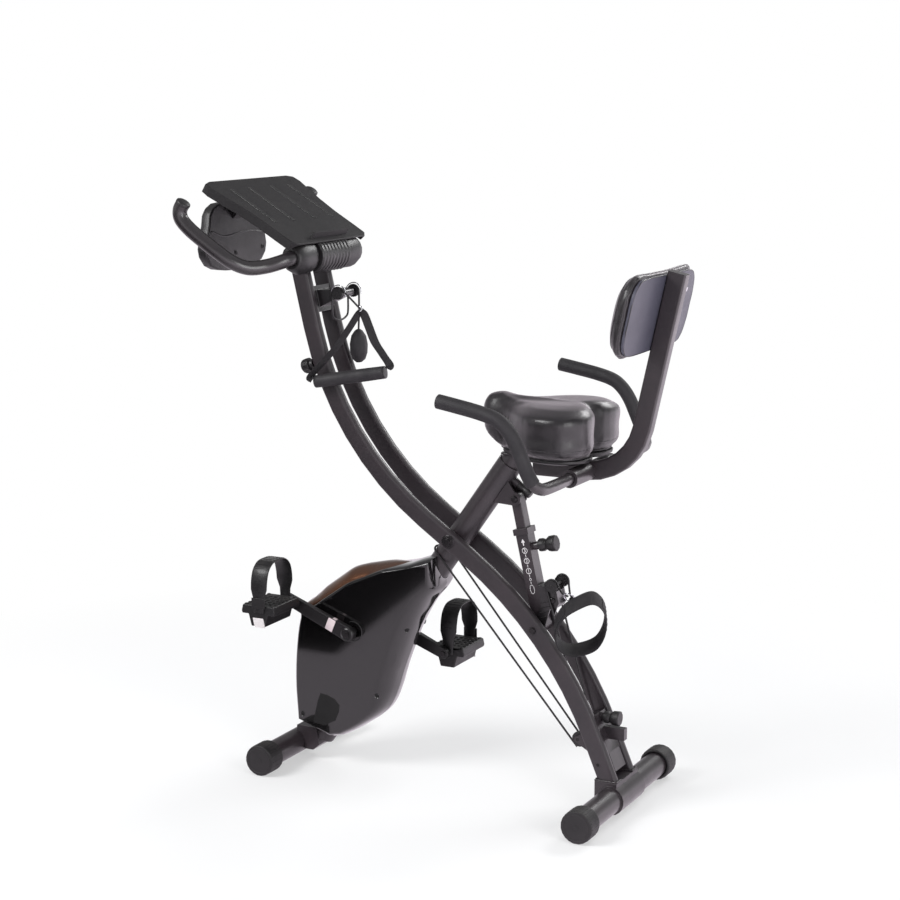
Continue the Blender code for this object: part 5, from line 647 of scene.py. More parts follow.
bpy.context.view_layer.update()
CRANK_AXLE = Vector((0.17925, 0, 0.290142))
DARK_PATCH_MIDDLE = Vector((0.242, 0.118))
DARK_PATCH = (
    (0.2558, 0.1516), (0.24, 0.15), (0.2238, 0.1442), (0.2123, 0.1328), (0.2139, 0.1194), (0.222, 0.0999),
    (0.248, 0.086), (0.2728, 0.088), (0.2688, 0.1088), (0.2619, 0.1362),
)
DARK_PATCH_STEPS = 4
SCREW_SEAT = ((0.0056, -0.0004), (0.0056, 0.0003), (0.0048, 0.0006), (0.0042, 0.0001))
for hand, label in SIDES:
    rims, heads, slots = [], [], []
    for x, z in ((0.0647, 0.3043), (0.1274, 0.1634), (0.2984, 0.1031)):
        place, facing = on_shell(x, z, hand)
        rims.append(lathe(SCREW_SEAT, place, facing, 28))
        # Each screw head is a black disc, painted shade for the recess it sits in; its cross is steel.
        heads.append(lathe([(0.0041, 0.0), (0.0036, 0.0003), (0.0, 0.0005)], place, facing, 24))
        across = facing.cross(Z).normalized()
        for way in (across, facing.cross(across)):
            a, b = place + facing * 0.0005 - way * 0.0023, place + facing * 0.0005 + way * 0.0023
            slots.append(cord([a, b], 0.0004, 6, facing))
    piece(f"housing_screw_seats_{label}", rims, shell_gloss, "post_frame")
    piece(f"housing_screw_recess_shade_{label}", heads, painted_shade_and_patch_black, "post_frame")
    piece(f"housing_screw_slots_{label}", slots, bolt_steel, "post_frame")
    trim = [(0.0215, -0.0004), (0.0215, 0.0008), (0.02, 0.0013), (0.0186, 0.0008), (0.0182, -0.0004)]
    trim_ring = lathe(trim, CRANK_AXLE + Y * (hand * 0.0521), Y * hand, 56)
    piece(f"housing_crank_trim_{label}", [trim_ring], shell_gloss, "post_frame")
    # A dull black patch on each side, raised just off the shell.
    outline = []
    for a, b in zip(DARK_PATCH, DARK_PATCH[1:] + DARK_PATCH[:1]):
        outline += [Vector(a).lerp(Vector(b), step / DARK_PATCH_STEPS) for step in range(DARK_PATCH_STEPS)]
    dark_patch_rings = []
    for share, lift in ((1.03, -0.0002), (1.0, 0.0005), (0.93, 0.0003), (0.5, 0.0003), (0.02, 0.0003)):
        places = [DARK_PATCH_MIDDLE.lerp(place, share) for place in outline]
        dark_patch_rings.append([on_shell(place.x, place.y, hand, lift)[0] for place in places])
    piece(f"housing_dark_patch_{label}", [bridged(dark_patch_rings, caps=False)], painted_shade_and_patch_black, "post_frame")

# Crank arms, spindle caps and the pale protective sleeve left on the arm near its boss.
crank_black = finish(
    "black crank steel", (30, 28, 30), (24, 22, 24), 0.36, 0.06, metal=0.3, grain=(900.0, 0.12), dust=0.02, rubs=0.16,
    coat=0.3, coat_rough=0.2, rub_colour=(92, 88, 90),
)
sleeve_pale = finish(
    "pale sleeve", (222, 206, 208), (206, 190, 194), 0.42, 0.05, grain=(700.0, 0.25), dust=0.05, rubs=0.1,
)
dress(["crank_left", "crank_right"], crank_black, edge=0.0016)
PEDALS = ((1, "left", Vector((0.320181, 0, 0.347082))), (-1, "right", Vector((0.038317, 0, 0.233201))))
for hand, label, pedal_axle in PEDALS:
    arm = (pedal_axle - CRANK_AXLE).normalized()
    rise = Vector((-arm.z, 0, arm.x))
    if hand > 0:
        sleeve = []
        for along, half, out in (
            (0.0325, 0.0136, 0.0004), (0.0335, 0.0141, 0.0008), (0.0485, 0.0137, 0.0008), (0.0495, 0.0132, 0.0004),
        ):
            low, high = 0.064 - out, 0.076 + out
            corners = [
                (half, low + 0.002), (half, high - 0.002), (half - 0.002, high), (-half + 0.002, high),
                (-half, high - 0.002), (-half, low + 0.002), (-half + 0.002, low), (half - 0.002, low),
            ]
            sleeve.append([CRANK_AXLE + arm * along + rise * a + Y * b for a, b in corners])
        piece("crank_sleeve", [bridged(sleeve)], sleeve_pale, "crank")
    cap = [
        (0.0142, -0.001), (0.0144, 0.001), (0.0136, 0.0028), (0.0112, 0.0038), (0.0104, 0.003), (0.0098, 0.0022),
        (0.0, 0.0022),
    ]
    boss = lathe(cap, CRANK_AXLE + Y * (hand * 0.076), Y * hand, 48)
    piece(f"crank_boss_cap_{label}", [boss], crank_black, "crank")
    bolt = [(0.006, 0.0), (0.006, 0.003), (0.0053, 0.0036), (0.0, 0.0037)]
    bolt_head = lathe(bolt, CRANK_AXLE + Y * (hand * 0.0776), Y * hand, 6)
    piece(f"crank_bolt_{label}", [bolt_head], bolt_steel, "crank", smooth=20)
    end = [(0.0058, 0.0), (0.0058, 0.0016), (0.005, 0.0021), (0.0, 0.0021)]
    nut = lathe(end, pedal_axle + Y * (hand * 0.0638), -Y * hand, 6)
    piece(f"crank_end_nut_{label}", [nut], bolt_steel, "crank", smooth=20)

# Pedals: weighted moulded platforms with studs on the tread, a reflector on the outer
# end and a rubber foot strap with a ribbed top.
pedal_black = finish(
    "pedal plastic", (28, 26, 28), (20, 19, 21), 0.4, 0.08, grain=(1300.0, 0.35), dust=0.12, rubs=0.25,
    rub_colour=(70, 66, 68),
)
strap_rubber = finish("strap rubber", (27, 25, 27), (21, 20, 22), 0.36, 0.07, grain=(1500.0, 0.3), dust=0.08, rubs=0.15)
reflector = finish(
    "clear reflector", (232, 226, 226), (214, 208, 210), 0.18, 0.04, grain=(420.0, 0.8), dust=0.03, rubs=0.05, coat=1.0,
    coat_rough=0.05,
)
dress(["pedal_left", "pedal_right"], pedal_black, edge=0.0022)


def eased(points, steps=6, closed=False):
    """A smooth curve through points."""
    points = [Vector(p) for p in points]
    count = len(points)
    path = []
    for i in range(count if closed else count - 1):
        p1, p2 = points[i], points[(i + 1) % count]
        p0 = points[i - 1] if closed or i else p1 * 2 - p2
        p3 = points[(i + 2) % count] if closed or i + 2 < count else p2 * 2 - p1
        bend, twist = 2 * p0 - 5 * p1 + 4 * p2 - p3, 3 * p1 - p0 - 3 * p2 + p3
        for k in range(steps):
            t = k / steps
            path.append(0.5 * (2 * p1 + (p2 - p0) * t + bend * t * t + twist * t ** 3))
    if not closed:
        path.append(points[-1])
    return path


STUD_ROWS, STUD_COLUMNS = 6, 7
STUD = ((0.0044, -0.0006), (0.0042, 0.0008), (0.0028, 0.0016), (0.0, 0.0019))
STRAP_ARCH = (
    (0.0825, -0.0054, 0.62), (0.0825, 0.01, 0.62), (0.0825, 0.0245, 0.66), (0.084, 0.042, 0.98),
    (0.086, 0.06, 1.0), (0.093, 0.079, 1.0), (0.109, 0.0915, 1.0), (0.132, 0.094, 1.0), (0.155, 0.0915, 1.0),
    (0.171, 0.079, 1.0), (0.178, 0.06, 1.0), (0.18, 0.042, 0.98), (0.1815, 0.0245, 0.66), (0.1815, 0.01, 0.62),
    (0.1815, -0.0054, 0.62),
)
ARCH_STEPS = 5
TOP_RIBS, SIDE_RIBS, ARCH_TOP = range(26, 45, 2), (17, 20, 50, 53, 56), 35
for hand, label, axle in PEDALS:
    body = label + "_pedal"
    studs, grooves = [], []
    top = axle.z + 0.009
    for row in range(STUD_ROWS):
        for column in range(STUD_COLUMNS):
            x = axle.x - 0.03 + row * 0.012
            y = hand * (0.0905 + column * 0.0138)
            if abs(x - axle.x) < 0.021 and column in (0, STUD_COLUMNS - 1):
                continue
            studs.append(lathe(STUD, (x, y, top), Z, 12))
    piece(f"pedal_studs_{label}", studs, pedal_black, body)
    plate = [
        [
            Vector((axle.x - 0.0165 + 0.024 * a + 0.004 * b, hand * (0.1802 + out), axle.z - 0.0345 + 0.019 * b))
            for a, b in ((0, 0), (1, 0), (1, 1), (0, 1))
        ]
        for out in (-0.0002, 0.001)
    ]
    piece(f"pedal_reflector_{label}", [bridged(plate)], reflector, body, edge=0.0004)
    path = eased([Vector((axle.x - 0.003, hand * y, axle.z + z)) for y, z, _ in STRAP_ARCH], ARCH_STEPS)
    widths = [wide for _, _, wide in STRAP_ARCH]
    rings = []
    for i, point in enumerate(path):
        before, after = path[max(i - 1, 0)], path[min(i + 1, len(path) - 1)]
        along = (after - before).normalized()
        at = min(i / ARCH_STEPS, len(widths) - 1.0)
        low = int(at)
        wide = widths[low] + (widths[min(low + 1, len(widths) - 1)] - widths[low]) * (at - low)
        out = along.cross(X).normalized()
        rings.append([point + X * (a * wide) + out * b for a, b in flat_band(0.0368, 0.0024)])
        if i in TOP_RIBS:
            face = out if out.z > 0 else -out
            on_face = point + face * 0.001
            grooves.append(cord([on_face - X * 0.015, on_face + X * 0.015], 0.0011, 6, face))
        if i in SIDE_RIBS:
            face = out if out.y * hand * (1 if i > ARCH_TOP else -1) > 0 else -out
            on_face = point + face * 0.0008
            grooves.append(cord([on_face - X * 0.0075, on_face + X * 0.0075], 0.0012, 6, face))
    strap = piece(f"foot_strap_{label}", [bridged(rings)], strap_rubber, body)
    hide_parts(f"pedal_strap_{label}")
    piece(f"foot_strap_ribs_{label}", grooves, strap_rubber, body)
    buckle = [
        [
            Vector((axle.x - 0.003 + a * 0.015, hand * (0.1829 + out), axle.z + 0.015 + b * 0.0105))
            for a, b in ((-1, -1), (1, -1), (1, 1), (-1, 1))
        ]
        for out in (-0.0004, 0.0014)
    ]
    piece(f"foot_strap_buckle_{label}", [bridged(buckle)], moulded, body, edge=0.0006)
dress(["drive_pulley"], moulded, edge=0.0004)
dress(["drive_belt"], strap_rubber, edge=0.0003)

# Seat post and carrier: the round tube that telescopes in the main post, with the saddle
# plate on its top. The side handles are one bent tube bolted across under the saddle.
dress(["seat_post"], frame_coat, edge=0.0014)
dress(["seat_handle", "backrest_post"], frame_coat, edge=0.0012, sharpest=50.0)
dress(["saddle_base"], moulded, edge=0.0012)

# Saddle: foam on the moulded base under glossy black vinyl, with a welted seam where the
# top panel meets the skirt and a turned edge stapled under the rim.
VOXEL = 0.005
AIR_PRESSURE = 4.0
LARGEST_SWELL = 0.005
CLOTH_FRAMES = 20
RELAXING = 6


def plumped(source, name, shrink):
    """A soft form from a CAD solid: remeshed, drawn in, blown up a little as cloth, then smoothed."""
    mesh = bpy.data.meshes.new(name)
    work = bmesh.new()
    work.from_mesh(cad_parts[source].data)
    bmesh.ops.remove_doubles(work, verts=work.verts, dist=SAME_PLACE)
    bmesh.ops.recalc_face_normals(work, faces=work.faces)
    work.to_mesh(mesh)
    work.free()
    made = added(name, mesh)
    modify(made, "remesh", "REMESH", mode="VOXEL", voxel_size=VOXEL)
    modify(made, "relax", "SMOOTH", factor=0.5, iterations=RELAXING)
    bpy.context.view_layer.update()
    base = bpy.data.meshes.new_from_object(made.evaluated_get(bpy.context.evaluated_depsgraph_get()))
    made.modifiers.clear()
    made.data = base
    for point in base.vertices:
        point.co = Vector(point.co) - Vector(point.normal) * shrink
    rest = [Vector(p.co) for p in base.vertices]
    cloth = made.modifiers.new("cloth", "CLOTH")
    cloth.settings.use_pressure = True
    cloth.settings.uniform_pressure_force = AIR_PRESSURE
    cloth.settings.effector_weights.gravity = 0.0
    cloth.settings.quality = 4
    cloth.collision_settings.use_collision = False
    for step in range(1, CLOTH_FRAMES + 1):
        scene.frame_set(step)
    blown = made.evaluated_get(bpy.context.evaluated_depsgraph_get()).data
    moved = [Vector(p.co) for p in blown.vertices]
    made.modifiers.clear()
    scene.frame_set(1)
    drift = sum((b - a for a, b in zip(rest, moved)), Vector()) / len(rest)
    for point, a, b in zip(base.vertices, rest, moved):
        step = b - a - drift
        if step.length > LARGEST_SWELL:
            step *= LARGEST_SWELL / step.length
        point.co = a + step
    for face in base.polygons:
        face.use_smooth = True
    modify(made, "finer", "SUBSURF", levels=1, render_levels=1)
    return made


def seam_loops(made, place, normal):
    """The closed outlines where a soft form meets a plane, in order."""
    work = bmesh.new()
    bpy.context.view_layer.update()
    work.from_object(made, bpy.context.evaluated_depsgraph_get())
    cut = bmesh.ops.bisect_plane(
        work, geom=work.verts[:] + work.edges[:] + work.faces[:], plane_co=place, plane_no=normal, clear_inner=True,
    )
    edges = [e for e in cut["geom_cut"] if isinstance(e, bmesh.types.BMEdge)]
    unused = set(edges)
    loops = []
    for edge in edges:
        if edge not in unused:
            continue
        unused.discard(edge)
        start, here = edge.verts
        loop = [start.co.copy(), here.co.copy()]
        while here != start:
            onward = next((e for e in here.link_edges if e in unused), None)
            if onward is None:
                break
            unused.discard(onward)
            here = onward.other_vert(here)
            loop.append(here.co.copy())
        loops.append(loop[:-1])
    work.free()
    loops.sort(key=len, reverse=True)
    return loops


def evenly(loop, gap):
    """A closed outline resampled at even steps."""
    total = sum((loop[i] - loop[i - 1]).length for i in range(len(loop)))
    count = max(8, int(total / gap))
    marks, run, index = [], 0.0, 0
    lengths = [(loop[(i + 1) % len(loop)] - loop[i]).length for i in range(len(loop))]
    for k in range(count):
        want = total * k / count
        while run + lengths[index] < want and index < len(loop) - 1:
            run += lengths[index]
            index += 1
        share = (want - run) / max(lengths[index], 1e-9)
        marks.append(loop[index].lerp(loop[(index + 1) % len(loop)], min(share, 1.0)))
    for _ in range(3):
        marks = [(marks[i - 1] + marks[i] * 2 + marks[(i + 1) % count]) / 4 for i in range(count)]
    return marks


def vinyl_grain(tree, height):
    """Fine cells of embossed vinyl over the broad grain."""
    cells = put(
        tree, "TexVoronoi", {"feature": "DISTANCE_TO_EDGE"}, Vector=put(tree, "TexCoord").outputs["Object"],
        Scale=620.0,
    )
    crease = put(tree, "MapRange", Value=cells.outputs["Distance"], From_Min=0.0, From_Max=0.22, To_Min=0.0, To_Max=1.0)
    return put(tree, "Math", {"operation": "ADD"}, [crease, height]).outputs[0]


vinyl = finish(
    "glossy black vinyl", (31, 28, 31), (28, 25, 28), 0.37, 0.03, grain=(2400.0, 0.18), patches=6.0, dust=0.02,
    rubs=0.03, coat=0.4, coat_rough=0.24, extra=vinyl_grain, ior=1.4, sheen=0.55,
)
SEAM_HEIGHT = 0.7035
SEAM_DEPTH = 0.0007
SADDLE_UNDERSIDE = 0.6846
saddle_cover = plumped("saddle", "saddle_cushion", 0.0022)
for point in saddle_cover.data.vertices:
    height = point.co.z
    pinch = math.exp(-((height - SEAM_HEIGHT) / 0.0035) ** 2)
    centre = Vector((-0.215, 0.0, height))
    point.co = Vector(point.co) + (centre - Vector(point.co)).normalized() * SEAM_DEPTH * pinch
    if height < SADDLE_UNDERSIDE:
        point.co.z = SADDLE_UNDERSIDE
saddle_cover.data.materials.append(vinyl)
welt = evenly(seam_loops(saddle_cover, (0, 0, SEAM_HEIGHT), Z)[0], 0.0035)
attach(saddle_cover, "seat")
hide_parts("saddle")
piece("saddle_welt", [cord(welt, 0.0009, 8, Z, closed=True)], vinyl, "seat")
rim = evenly(seam_loops(saddle_cover, (0, 0, 0.6868), Z)[0], 0.004)
piece("saddle_rim_tape", [cord(rim, 0.0021, 8, Z, closed=True)], strap_rubber, "seat")

# Foam sleeves on the side handles: closed-cell foam tube pushed on over the bent steel.
foam = finish(
    "closed cell foam", (36, 33, 37), (29, 27, 31), 0.62, 0.07, grain=(1500.0, 0.55), patches=30.0, dust=0.07,
    rubs=0.06,
)
SLEEVE_ROUTE = (
    (-0.1245, 0.268, 0.8072), (-0.1557, 0.268, 0.8021), (-0.206, 0.268, 0.7929), (-0.2396, 0.268, 0.783),
    (-0.2591, 0.268, 0.7687), (-0.2744, 0.268, 0.7484), (-0.2861, 0.268, 0.7245), (-0.2966, 0.2683, 0.7006),
    (-0.3062, 0.2665, 0.6801), (-0.3104, 0.264, 0.672),
)


def rounded_end(ring, centre, before, steps):
    """The narrowing rings of a sleeve's end, past its last ring."""
    outward = (centre - before).normalized()
    return [[centre + (p - centre) * share + outward * out for p in ring] for share, out in steps]


for hand, label in SIDES:
    path = eased([(x, hand * y, z) for x, y, z in SLEEVE_ROUTE])
    rings = carried(path, circle(0.01335, 28), Y)
    front = rounded_end(rings[0], path[0], path[1], ((0.8, 0.0012), (0.93, 0.0008)))
    rear = rounded_end(rings[-1], path[-1], path[-2], ((0.95, 0.0006), (0.84, 0.001)))
    grip = piece(f"handle_foam_{label}", [bridged(front + rings + rear)], foam, "seat", smooth=60)
    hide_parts(f"seat_grip_{label}")
    plug = [(0.0092, -0.001), (0.0092, 0.0006), (0.0078, 0.0014), (0.0, 0.0016)]
    end_plug = lathe(plug, (-0.1233, hand * 0.268, 0.8074), (0.988, 0, 0.155), 28)
    piece(f"handle_end_plug_{label}", [end_plug], moulded, "seat")

# Backrest: a vinyl pad stapled over a board, its back closed with a smooth blue-grey panel
# with a moulded edge and two chrome bolts.
chrome = finish(
    "bright chrome", (196, 196, 200), (176, 176, 182), 0.14, 0.05, metal=1.0, grain=(1200.0, 0.05), dust=0.02, rubs=0.1,
)
panel_grey = finish(
    "blue grey back panel", (80, 79, 93), (70, 69, 82), 0.46, 0.06, grain=(1800.0, 0.25), patches=9.0, dust=0.06,
    rubs=0.1,
)
dress(["backrest_board"], panel_grey, edge=0.0012)
back_up = Vector((-0.214735, 0, 0.976672))
back_ahead = Vector((0.976672, 0, 0.214735))
BACK_MIDDLE = 1.0282
PAD_HALF_HEIGHT, PAD_HALF_WIDTH = 0.083, 0.163
back_cover = plumped("backrest_pad", "backrest_cushion", 0.002)
back_cover.data.materials.append(vinyl)
board_depths = [Vector(p.co).dot(back_ahead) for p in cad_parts["backrest_board"].data.vertices]
board_rear, pad_rear = min(board_depths), max(board_depths)
for point in back_cover.data.vertices:
    place = Vector(point.co)
    depth = place.dot(back_ahead) - pad_rear - 0.011
    if depth > 0:
        tall, wide = abs(place.dot(back_up) - BACK_MIDDLE) / PAD_HALF_HEIGHT, abs(place.y) / PAD_HALF_WIDTH
        share = 1.16 - 0.62 * min(tall, 1.0) ** 2.4 - 0.34 * min(wide, 1.0) ** 4
        point.co = place + back_ahead * (depth * (share - 1.0))
for offset, thick, label in ((0.0065, 0.0017, "backrest_welt_rear"), (0.0215, 0.0015, "backrest_welt_front")):
    line = evenly(seam_loops(back_cover, back_ahead * (pad_rear + offset), back_ahead)[0], 0.0045)
    piece(label, [cord(line, thick, 8, back_ahead, closed=True)], vinyl, "seat")
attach(back_cover, "seat")
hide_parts("backrest_pad")
DOME = ((0.0064, -0.0004), (0.0064, 0.001), (0.0055, 0.0026), (0.0028, 0.0034), (0.0, 0.0035))
heads = []
for place in (Vector((-0.4508, -0.1076, 0.9884)), Vector((-0.4313, -0.0989, 0.8998))):
    place += back_ahead * (board_rear - place.dot(back_ahead))
    heads.append(lathe(DOME, place, -back_ahead, 24))
piece("backrest_bolts", heads, chrome, "seat")
half_edge = [
    (-0.108, -0.0706), (0.0, -0.0708), (0.108, -0.0706), (0.139, -0.0585),
    (0.15, -0.03), (0.1506, 0.0), (0.15, 0.03), (0.139, 0.0585),
]
board_edge = half_edge + [(-across, -up) for across, up in half_edge]
edge_plane = back_ahead * (board_rear + 0.0006) + back_up * BACK_MIDDLE
edge_line = eased([edge_plane + back_up * up + Y * across for across, up in board_edge], 5, closed=True)
piece("backrest_board_edge", [cord(edge_line, 0.0009, 6, back_ahead, closed=True)], moulded, "seat")

# Leg pulleys: a ribbed block on the strut's foot carries two pulleys; the rubber bands run
# from them down to the rails' feet and forward round the main post.
satin_black = finish(
    "satin black tube", (34, 31, 34), (26, 24, 26), 0.3, 0.05, grain=(1600.0, 0.1), dust=0.05, rubs=0.14,
    coat=0.4, coat_rough=0.18,
)
dress(["rear_pulley_bracket", "upper_pulley_bracket"], satin_black, edge=0.0008)
band_rubber = finish("band rubber", (30, 27, 30), (22, 20, 23), 0.44, 0.06, grain=(1900.0, 0.2), dust=0.05, rubs=0.08)
BAND_RADIUS, BAND_SIDES = 0.002, 10
block_ribs = []
for k in range(5):
    low = Vector((-0.2105 - 0.0022 * k, 0.02, 0.348 + 0.0105 * k))
    line = [low, low + Vector((-0.009, 0.0, 0.003)), low + Vector((-0.018, 0.0, 0.0062))]
    block_ribs.append(cord(line, 0.0012, 6, Y))
piece("rear_bracket_ribs", block_ribs, moulded, "rail_frame")
head = [(0.0062, -0.0006), (0.0062, 0.001), (0.0052, 0.0026), (0.0028, 0.0032), (0.0, 0.0032)]
screw = lathe(head, (-0.2395, 0.02, 0.3965), Y, 28)
piece("rear_bracket_screw", [screw], bolt_steel, "rail_frame")
left_run = [
    (-0.2984, 0.08, 0.426), (-0.283, 0.064, 0.4235), (-0.27, 0.045, 0.4225), (-0.259, 0.0285, 0.423),
    (-0.2544, 0.0245, 0.427), (-0.2523, 0.0245, 0.4327), (-0.2469, 0.0245, 0.4373), (-0.2399, 0.0245, 0.4384),
    (-0.2334, 0.0245, 0.4357), (-0.2293, 0.0245, 0.43), (-0.2287, 0.0245, 0.42), (-0.25, 0.0231, 0.3515),
    (-0.2714, 0.0217, 0.2789), (-0.293, 0.0203, 0.2065), (-0.3125, 0.0191, 0.1415), (-0.3142, 0.019, 0.133),
    (-0.3111, 0.019, 0.1225), (-0.3059, 0.019, 0.1185), (-0.2996, 0.019, 0.117),
]
right_run = [(x, -y, z) for x, y, z in left_run[4:]]
right_start = [(-0.261, -0.0245, 0.395), (-0.2574, -0.0245, 0.402), (-0.255, -0.0245, 0.418)]
runs = [cord(eased(run, 4), BAND_RADIUS, BAND_SIDES, (0.3, 1, 0.1)) for run in (left_run, right_start + right_run)]
rear_band = piece("leg_band_rear_runs", runs, band_rubber, "rail_frame")
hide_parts("leg_band")
front_run = [
    (-0.2996, 0.019, 0.117), (-0.2932, 0.019, 0.1184), (-0.288, 0.019, 0.1223), (-0.217, 0.0212, 0.2062),
    (-0.1465, 0.0233, 0.2894), (-0.076, 0.0255, 0.373), (-0.005, 0.0276, 0.4565), (0.0036, 0.0255, 0.4626),
    (0.011, 0.0195, 0.4677), (0.0159, 0.0106, 0.4712), (0.0176, 0.0, 0.4724),
]
front_run = front_run + [(x, -y, z) for x, y, z in reversed(front_run[:-1])]
front_loop = cord(eased(front_run, 8), BAND_RADIUS, BAND_SIDES, (-0.78, 0, 0.62))
front_band = piece("leg_band_front_loop", [front_loop], band_rubber, None)
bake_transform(front_band)
ball = [(0.0022, -0.0085), (0.005, -0.007), (0.0072, -0.003), (0.0072, 0.003), (0.005, 0.007), (0.0022, 0.0085)]
stop = bridged(turned(ball, (-0.2632, -0.0245, 0.388), (0.35, 0, 0.94), 20))
piece("leg_band_stop", [stop], moulded, "rail_frame")

# Ankle cuff: padded webbing with a hook-and-loop end, held on the left band by a ring.


def woven(tree, height):
    """The crossed ribs of woven webbing."""
    place = put(tree, "TexCoord").outputs["Object"]
    warp = put(tree, "TexWave", {"bands_direction": "DIAGONAL"}, Vector=place, Scale=420.0, Distortion=0.3)
    weft = put(tree, "TexWave", {"bands_direction": "Z"}, Vector=place, Scale=300.0, Distortion=0.3)
    both = product(tree, warp.outputs["Fac"], weft.outputs["Fac"])
    return put(tree, "Math", {"operation": "ADD"}, [both, height]).outputs[0]


webbing = finish(
    "black webbing", (24, 22, 25), (34, 31, 35), 0.72, 0.06, grain=(1300.0, 0.7), patches=40.0, dust=0.08, rubs=0.05,
    extra=woven,
)
cuff_axis = Vector((-0.4092, 0.7885, -0.4591)).normalized()
cuff_round = [
    (-0.3574, 0.1032, 0.435), (-0.3712, 0.0884, 0.4218), (-0.3723, 0.0736, 0.3975), (-0.3634, 0.0587, 0.364),
    (-0.3447, 0.0514, 0.3347), (-0.3187, 0.0569, 0.321), (-0.2949, 0.068, 0.3188), (-0.2808, 0.0873, 0.3393),
    (-0.2856, 0.1032, 0.3709), (-0.3034, 0.1121, 0.402), (-0.3287, 0.1105, 0.4219),
]
cuff_path = eased(cuff_round, closed=True)
taped = cuff_path[6:56]
cuff_middle = sum(cuff_path, Vector()) / len(cuff_path)
thread = finish("black thread", (30, 28, 30), (44, 41, 44), 0.6, 0.06, grain=(3000.0, 0.5), dust=0.04, rubs=0.1)


def outside(path, out):
    """A path round the cuff, moved outwards from its middle."""
    spokes = [p - cuff_middle - cuff_axis * (p - cuff_middle).dot(cuff_axis) for p in path]
    return [p + spoke.normalized() * out for p, spoke in zip(path, spokes)]


def cuff_rings(path, width, thick, out, closed):
    """The skin of one layer of the cuff."""
    section = [(b, a) for a, b in flat_band(width, thick)]
    return bridged(carried(outside(path, out), section, cuff_axis, closed), closed)


cuff = piece("ankle_cuff_padding", [cuff_rings(cuff_path, 0.037, 0.0028, 0.0, True)], webbing, "rail_frame")
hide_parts("ankle_cuff")
piece("ankle_cuff_tape", [cuff_rings(taped, 0.024, 0.0012, 0.0019, False)], webbing, "rail_frame")
seams = []
for edge in (-0.0108, 0.0108):
    line = [p + cuff_axis * edge for p in outside(taped, 0.0027)]
    for i in range(0, len(line) - 1, 2):
        seams.append(cord([line[i], line[i].lerp(line[i + 1], 0.8)], 0.0004, 5, cuff_axis))
piece("ankle_cuff_stitches", seams, thread, "rail_frame")
hoop_centre = Vector((-0.3045, 0.087, 0.4262))
hoop = [hoop_centre + X * a + Vector((0, 0.55, 0.8)) * b for a, b in circle(0.0105, 24)]
hoop_wire = cord(hoop, 0.0013, 8, (0.1, -0.8, 0.5), closed=True)
piece("ankle_cuff_ring", [hoop_wire], chrome, "rail_frame")

# Arm pulleys under the desk: the elastic band runs over both pulleys; a webbing stirrup
# with a foam grip hangs on its left end and a second handle on its right.
arm_points = [
    (0.1676, 0.03, 0.9323), (0.1756, 0.03, 0.9394), (0.1866, 0.03, 0.9491), (0.1992, 0.03, 0.9602),
    (0.2099, 0.03, 0.9695), (0.2187, 0.03, 0.973), (0.2256, 0.03, 0.9708), (0.2301, 0.03, 0.9652),
    (0.2311, 0.03, 0.9605), (0.2311, 0.0308, 0.941), (0.2311, 0.03, 0.9205), (0.2311, 0.0251, 0.9121),
    (0.2311, 0.0094, 0.9066), (0.2311, -0.0094, 0.9066), (0.2311, -0.0251, 0.9121), (0.2311, -0.03, 0.9205),
    (0.2312, -0.0308, 0.9409), (0.2311, -0.03, 0.9605), (0.2294, -0.03, 0.9668), (0.2248, -0.03, 0.9713),
    (0.2186, -0.03, 0.973), (0.2123, -0.03, 0.9713), (0.2077, -0.03, 0.9668), (0.2061, -0.03, 0.9605),
    (0.2057, -0.0298, 0.9423), (0.2061, -0.03, 0.9205), (0.2078, -0.032, 0.9006), (0.2096, -0.034, 0.8856),
]
arm_run = cord(eased(arm_points, 4), BAND_RADIUS, BAND_SIDES, (0.25, 0.9, 0.35))
arm_band = piece("arm_band_run", [arm_run], band_rubber, "rail_frame")
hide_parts("arm_band")
grip_near, grip_far = Vector((0.248, 0.0675, 0.791)), Vector((0.1075, 0.045, 0.8155))
along = (grip_far - grip_near).normalized()
length = (grip_far - grip_near).length
profile = [(0.0105, 0.0), (0.0123, 0.0012), (0.0125, 0.004)]
profile += [(0.0125 + 0.0006 * math.sin(math.pi * k / 10), length * (0.06 + 0.088 * k)) for k in range(11)]
profile += [(0.0125, length - 0.004), (0.0123, length - 0.0012), (0.0105, length)]
stirrup = piece(
    "stirrup_foam", [bridged(turned(profile, grip_near, along))], foam, "rail_frame", smooth=60,
)
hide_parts("arm_handle_grip")
disc = [(0.0118, -0.0008), (0.0124, 0.0002), (0.012, 0.0016), (0.0096, 0.002), (0.0, 0.002)]
discs = [lathe(disc, place, way, 28) for place, way in ((grip_near, -along), (grip_far, along))]
piece("stirrup_end_discs", discs, moulded, "rail_frame")
leg_paths = (
    [(0.101, 0.0437, 0.8225), (0.0965, 0.0438, 0.8262), (0.0995, 0.0435, 0.8335), (0.1146, 0.0407, 0.8504),
     (0.1337, 0.0369, 0.8729), (0.149, 0.0324, 0.9008), (0.1607, 0.0292, 0.9222), (0.1672, 0.03, 0.929)],
    [(0.1676, 0.03, 0.9292), (0.1746, 0.0311, 0.9215), (0.1906, 0.0391, 0.8935), (0.2117, 0.0494, 0.8593),
     (0.2365, 0.0603, 0.8291), (0.256, 0.0686, 0.8055), (0.26, 0.07, 0.7975), (0.256, 0.069, 0.7935)],
)
strap_legs = [
    bridged(carried(eased(path), flat_band(0.0165, 0.0018), Vector((0.55, -0.5, 0.65))))
    for path in leg_paths
]
strap = piece("stirrup_webbing", strap_legs, webbing, "rail_frame")
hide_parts("arm_handle_strap")
dress(["second_arm_handle"], foam, edge=0.0016)
clip = [
    (0.1676, 0.03, 0.9292), (0.164, 0.03, 0.933), (0.166, 0.03, 0.9375), (0.171, 0.03, 0.9385),
    (0.173, 0.03, 0.9345),
]
hook = cord(eased(clip, closed=True), 0.0013, 8, Y, closed=True)
piece("stirrup_hook", [hook], chrome, "rail_frame")
